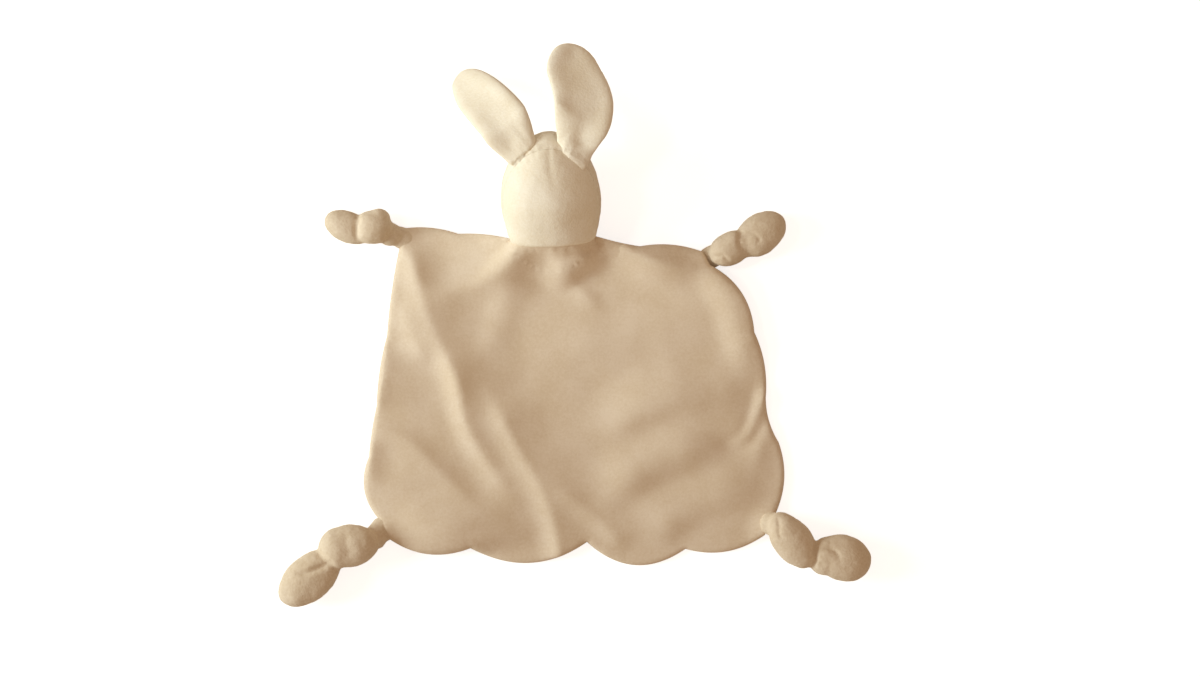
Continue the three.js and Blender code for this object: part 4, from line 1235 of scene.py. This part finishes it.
# %% The head, the ears and the ties
head_parts = {"head_front_panel": (head_front, 0.85), "head_back_panel": (head_back, 0.85)}
head_parts["head_stuffing"] = (head_filling, 0.9)
for replaced, (piece, fill_share) in head_parts.items():
    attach(piece, "head")
    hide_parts(replaced)

ear_parts = {"front": ("front_panel", 0.35), "back": ("back_panel", 0.35), "wadding": ("wadding", 0.5)}
for which, parts in made_ears.items():
    for part, (replaced, fill_share) in ear_parts.items():
        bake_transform(parts[part])
        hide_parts(f"ear_{which}_{replaced}")

for name, piece in ties.items():
    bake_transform(piece)
    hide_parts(f"tie_{name}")
print("pieces that ride or bend:", 4 + len(head_parts) + len(made_ears) * len(ear_parts) + len(ties))

# %% [markdown]
# ## Floor, light and camera
#
# The blanket lies on a white table under one broad soft light from the left, low enough to rake over the
# folds, and the room's own light fills the shadows. A weaker and steeper lamp is aimed at the head. The
# camera looks straight down through a long lens.


# %% Floor
def seen_directly(tree):
    """1 for the rays that show a surface to the camera, by itself, in a mirror or through glass, else 0."""
    path = node(tree, "ShaderNodeLightPath")
    seen = path.outputs["Is Camera Ray"]
    for other in ("Is Glossy Ray", "Is Transmission Ray"):
        pair = {0: seen, 1: path.outputs[other]}
        seen = node(tree, "ShaderNodeMath", {"operation": "MAXIMUM"}, pair).outputs[0]
    return seen


bpy.ops.object.select_all(action="DESELECT")
bpy.ops.mesh.primitive_plane_add(size=4, location=(0, 0, -0.2 * MM))
floor = bpy.context.object
floor.name = "floor"
table_white, tree = new_material("white_table")
bare = node(tree, "ShaderNodeBsdfDiffuse", {}, {}, Color=linear("#D8D6D2"))
glow = node(tree, "ShaderNodeEmission", {}, {}, Color=(1, 1, 1, 1), Strength=0.78)
both = node(tree, "ShaderNodeAddShader", {}, {0: bare.outputs[0], 1: glow.outputs[0]})
mix = node(tree, "ShaderNodeMixShader", {}, {0: seen_directly(tree), 1: bare.outputs[0], 2: both.outputs[0]})
node(tree, "ShaderNodeOutputMaterial", {}, {"Surface": mix.outputs[0]})
floor.data.materials.append(table_white)
print("floor:", floor.name)

# %% Light
DAYLIGHT = "#F1FFFF"
ROOM_LIGHT = "#FFDDBC"


def lamp(name, kind, place, aim, power, **settings):
    """A lamp of one kind at a place, aimed at another."""
    data = bpy.data.lights.new(name, kind)
    data.energy, data.color = power, linear(DAYLIGHT)[:3]
    for key, value in settings.items():
        setattr(data, key, value)
    made = placed(name, data)
    made.location = place
    made.rotation_euler = (Vector(aim) - Vector(place)).to_track_quat("-Z", "Y").to_euler()
    print("lamp:", name)


head_middle = neck + Vector((0, 28 * MM, 12 * MM))
above_head = head_middle + Vector((-0.63, 0.12, 0.77))
cone = {"shadow_soft_size": 0.12, "spot_size": math.radians(12), "spot_blend": 0.8}
lamp("key_from_left", "AREA", (-1.9, 0.06, 0.72), (0, 0, 0), 35, shape="DISK", size=1)
lamp("lamp_on_the_head", "SPOT", above_head, head_middle, 12, **cone)

world = bpy.data.worlds.new("room")
bpy.context.scene.world = world
world.use_nodes = True
tree = world.node_tree
tree.nodes.clear()
room = node(tree, "ShaderNodeBackground", {}, {}, Color=linear(ROOM_LIGHT), Strength=0.46)
white = node(tree, "ShaderNodeBackground", {}, {}, Color=(1, 1, 1, 1), Strength=1.0)
mix = node(tree, "ShaderNodeMixShader", {}, {0: seen_directly(tree), 1: room.outputs[0], 2: white.outputs[0]})
node(tree, "ShaderNodeOutputWorld", {}, {"Surface": mix.outputs[0]})
bpy.context.scene.view_settings.view_transform = "Standard"

# %% Camera
# The image is 0.6 mm to a pixel at the height of the folds.
IMAGE_WIDTH = 1200
PIXEL = 0.6 * MM
NECK_TO_MIDDLE = (47 * PIXEL, -98.6 * PIXEL)
FOLD_HEIGHT = 12 * MM
CAMERA_HEIGHT = 2.4
SENSOR = 36
camera_data = bpy.data.cameras.new("camera")
camera = placed("camera", camera_data)
camera.location = (neck.x + NECK_TO_MIDDLE[0], neck.y + NECK_TO_MIDDLE[1], CAMERA_HEIGHT)
camera_data.sensor_width = SENSOR
camera_data.lens = SENSOR * (CAMERA_HEIGHT - FOLD_HEIGHT) / (IMAGE_WIDTH * PIXEL)
camera_data.clip_start, camera_data.clip_end = 0.1, 20
bpy.context.scene.camera = camera
print("lens in mm:", round(camera_data.lens, 1))
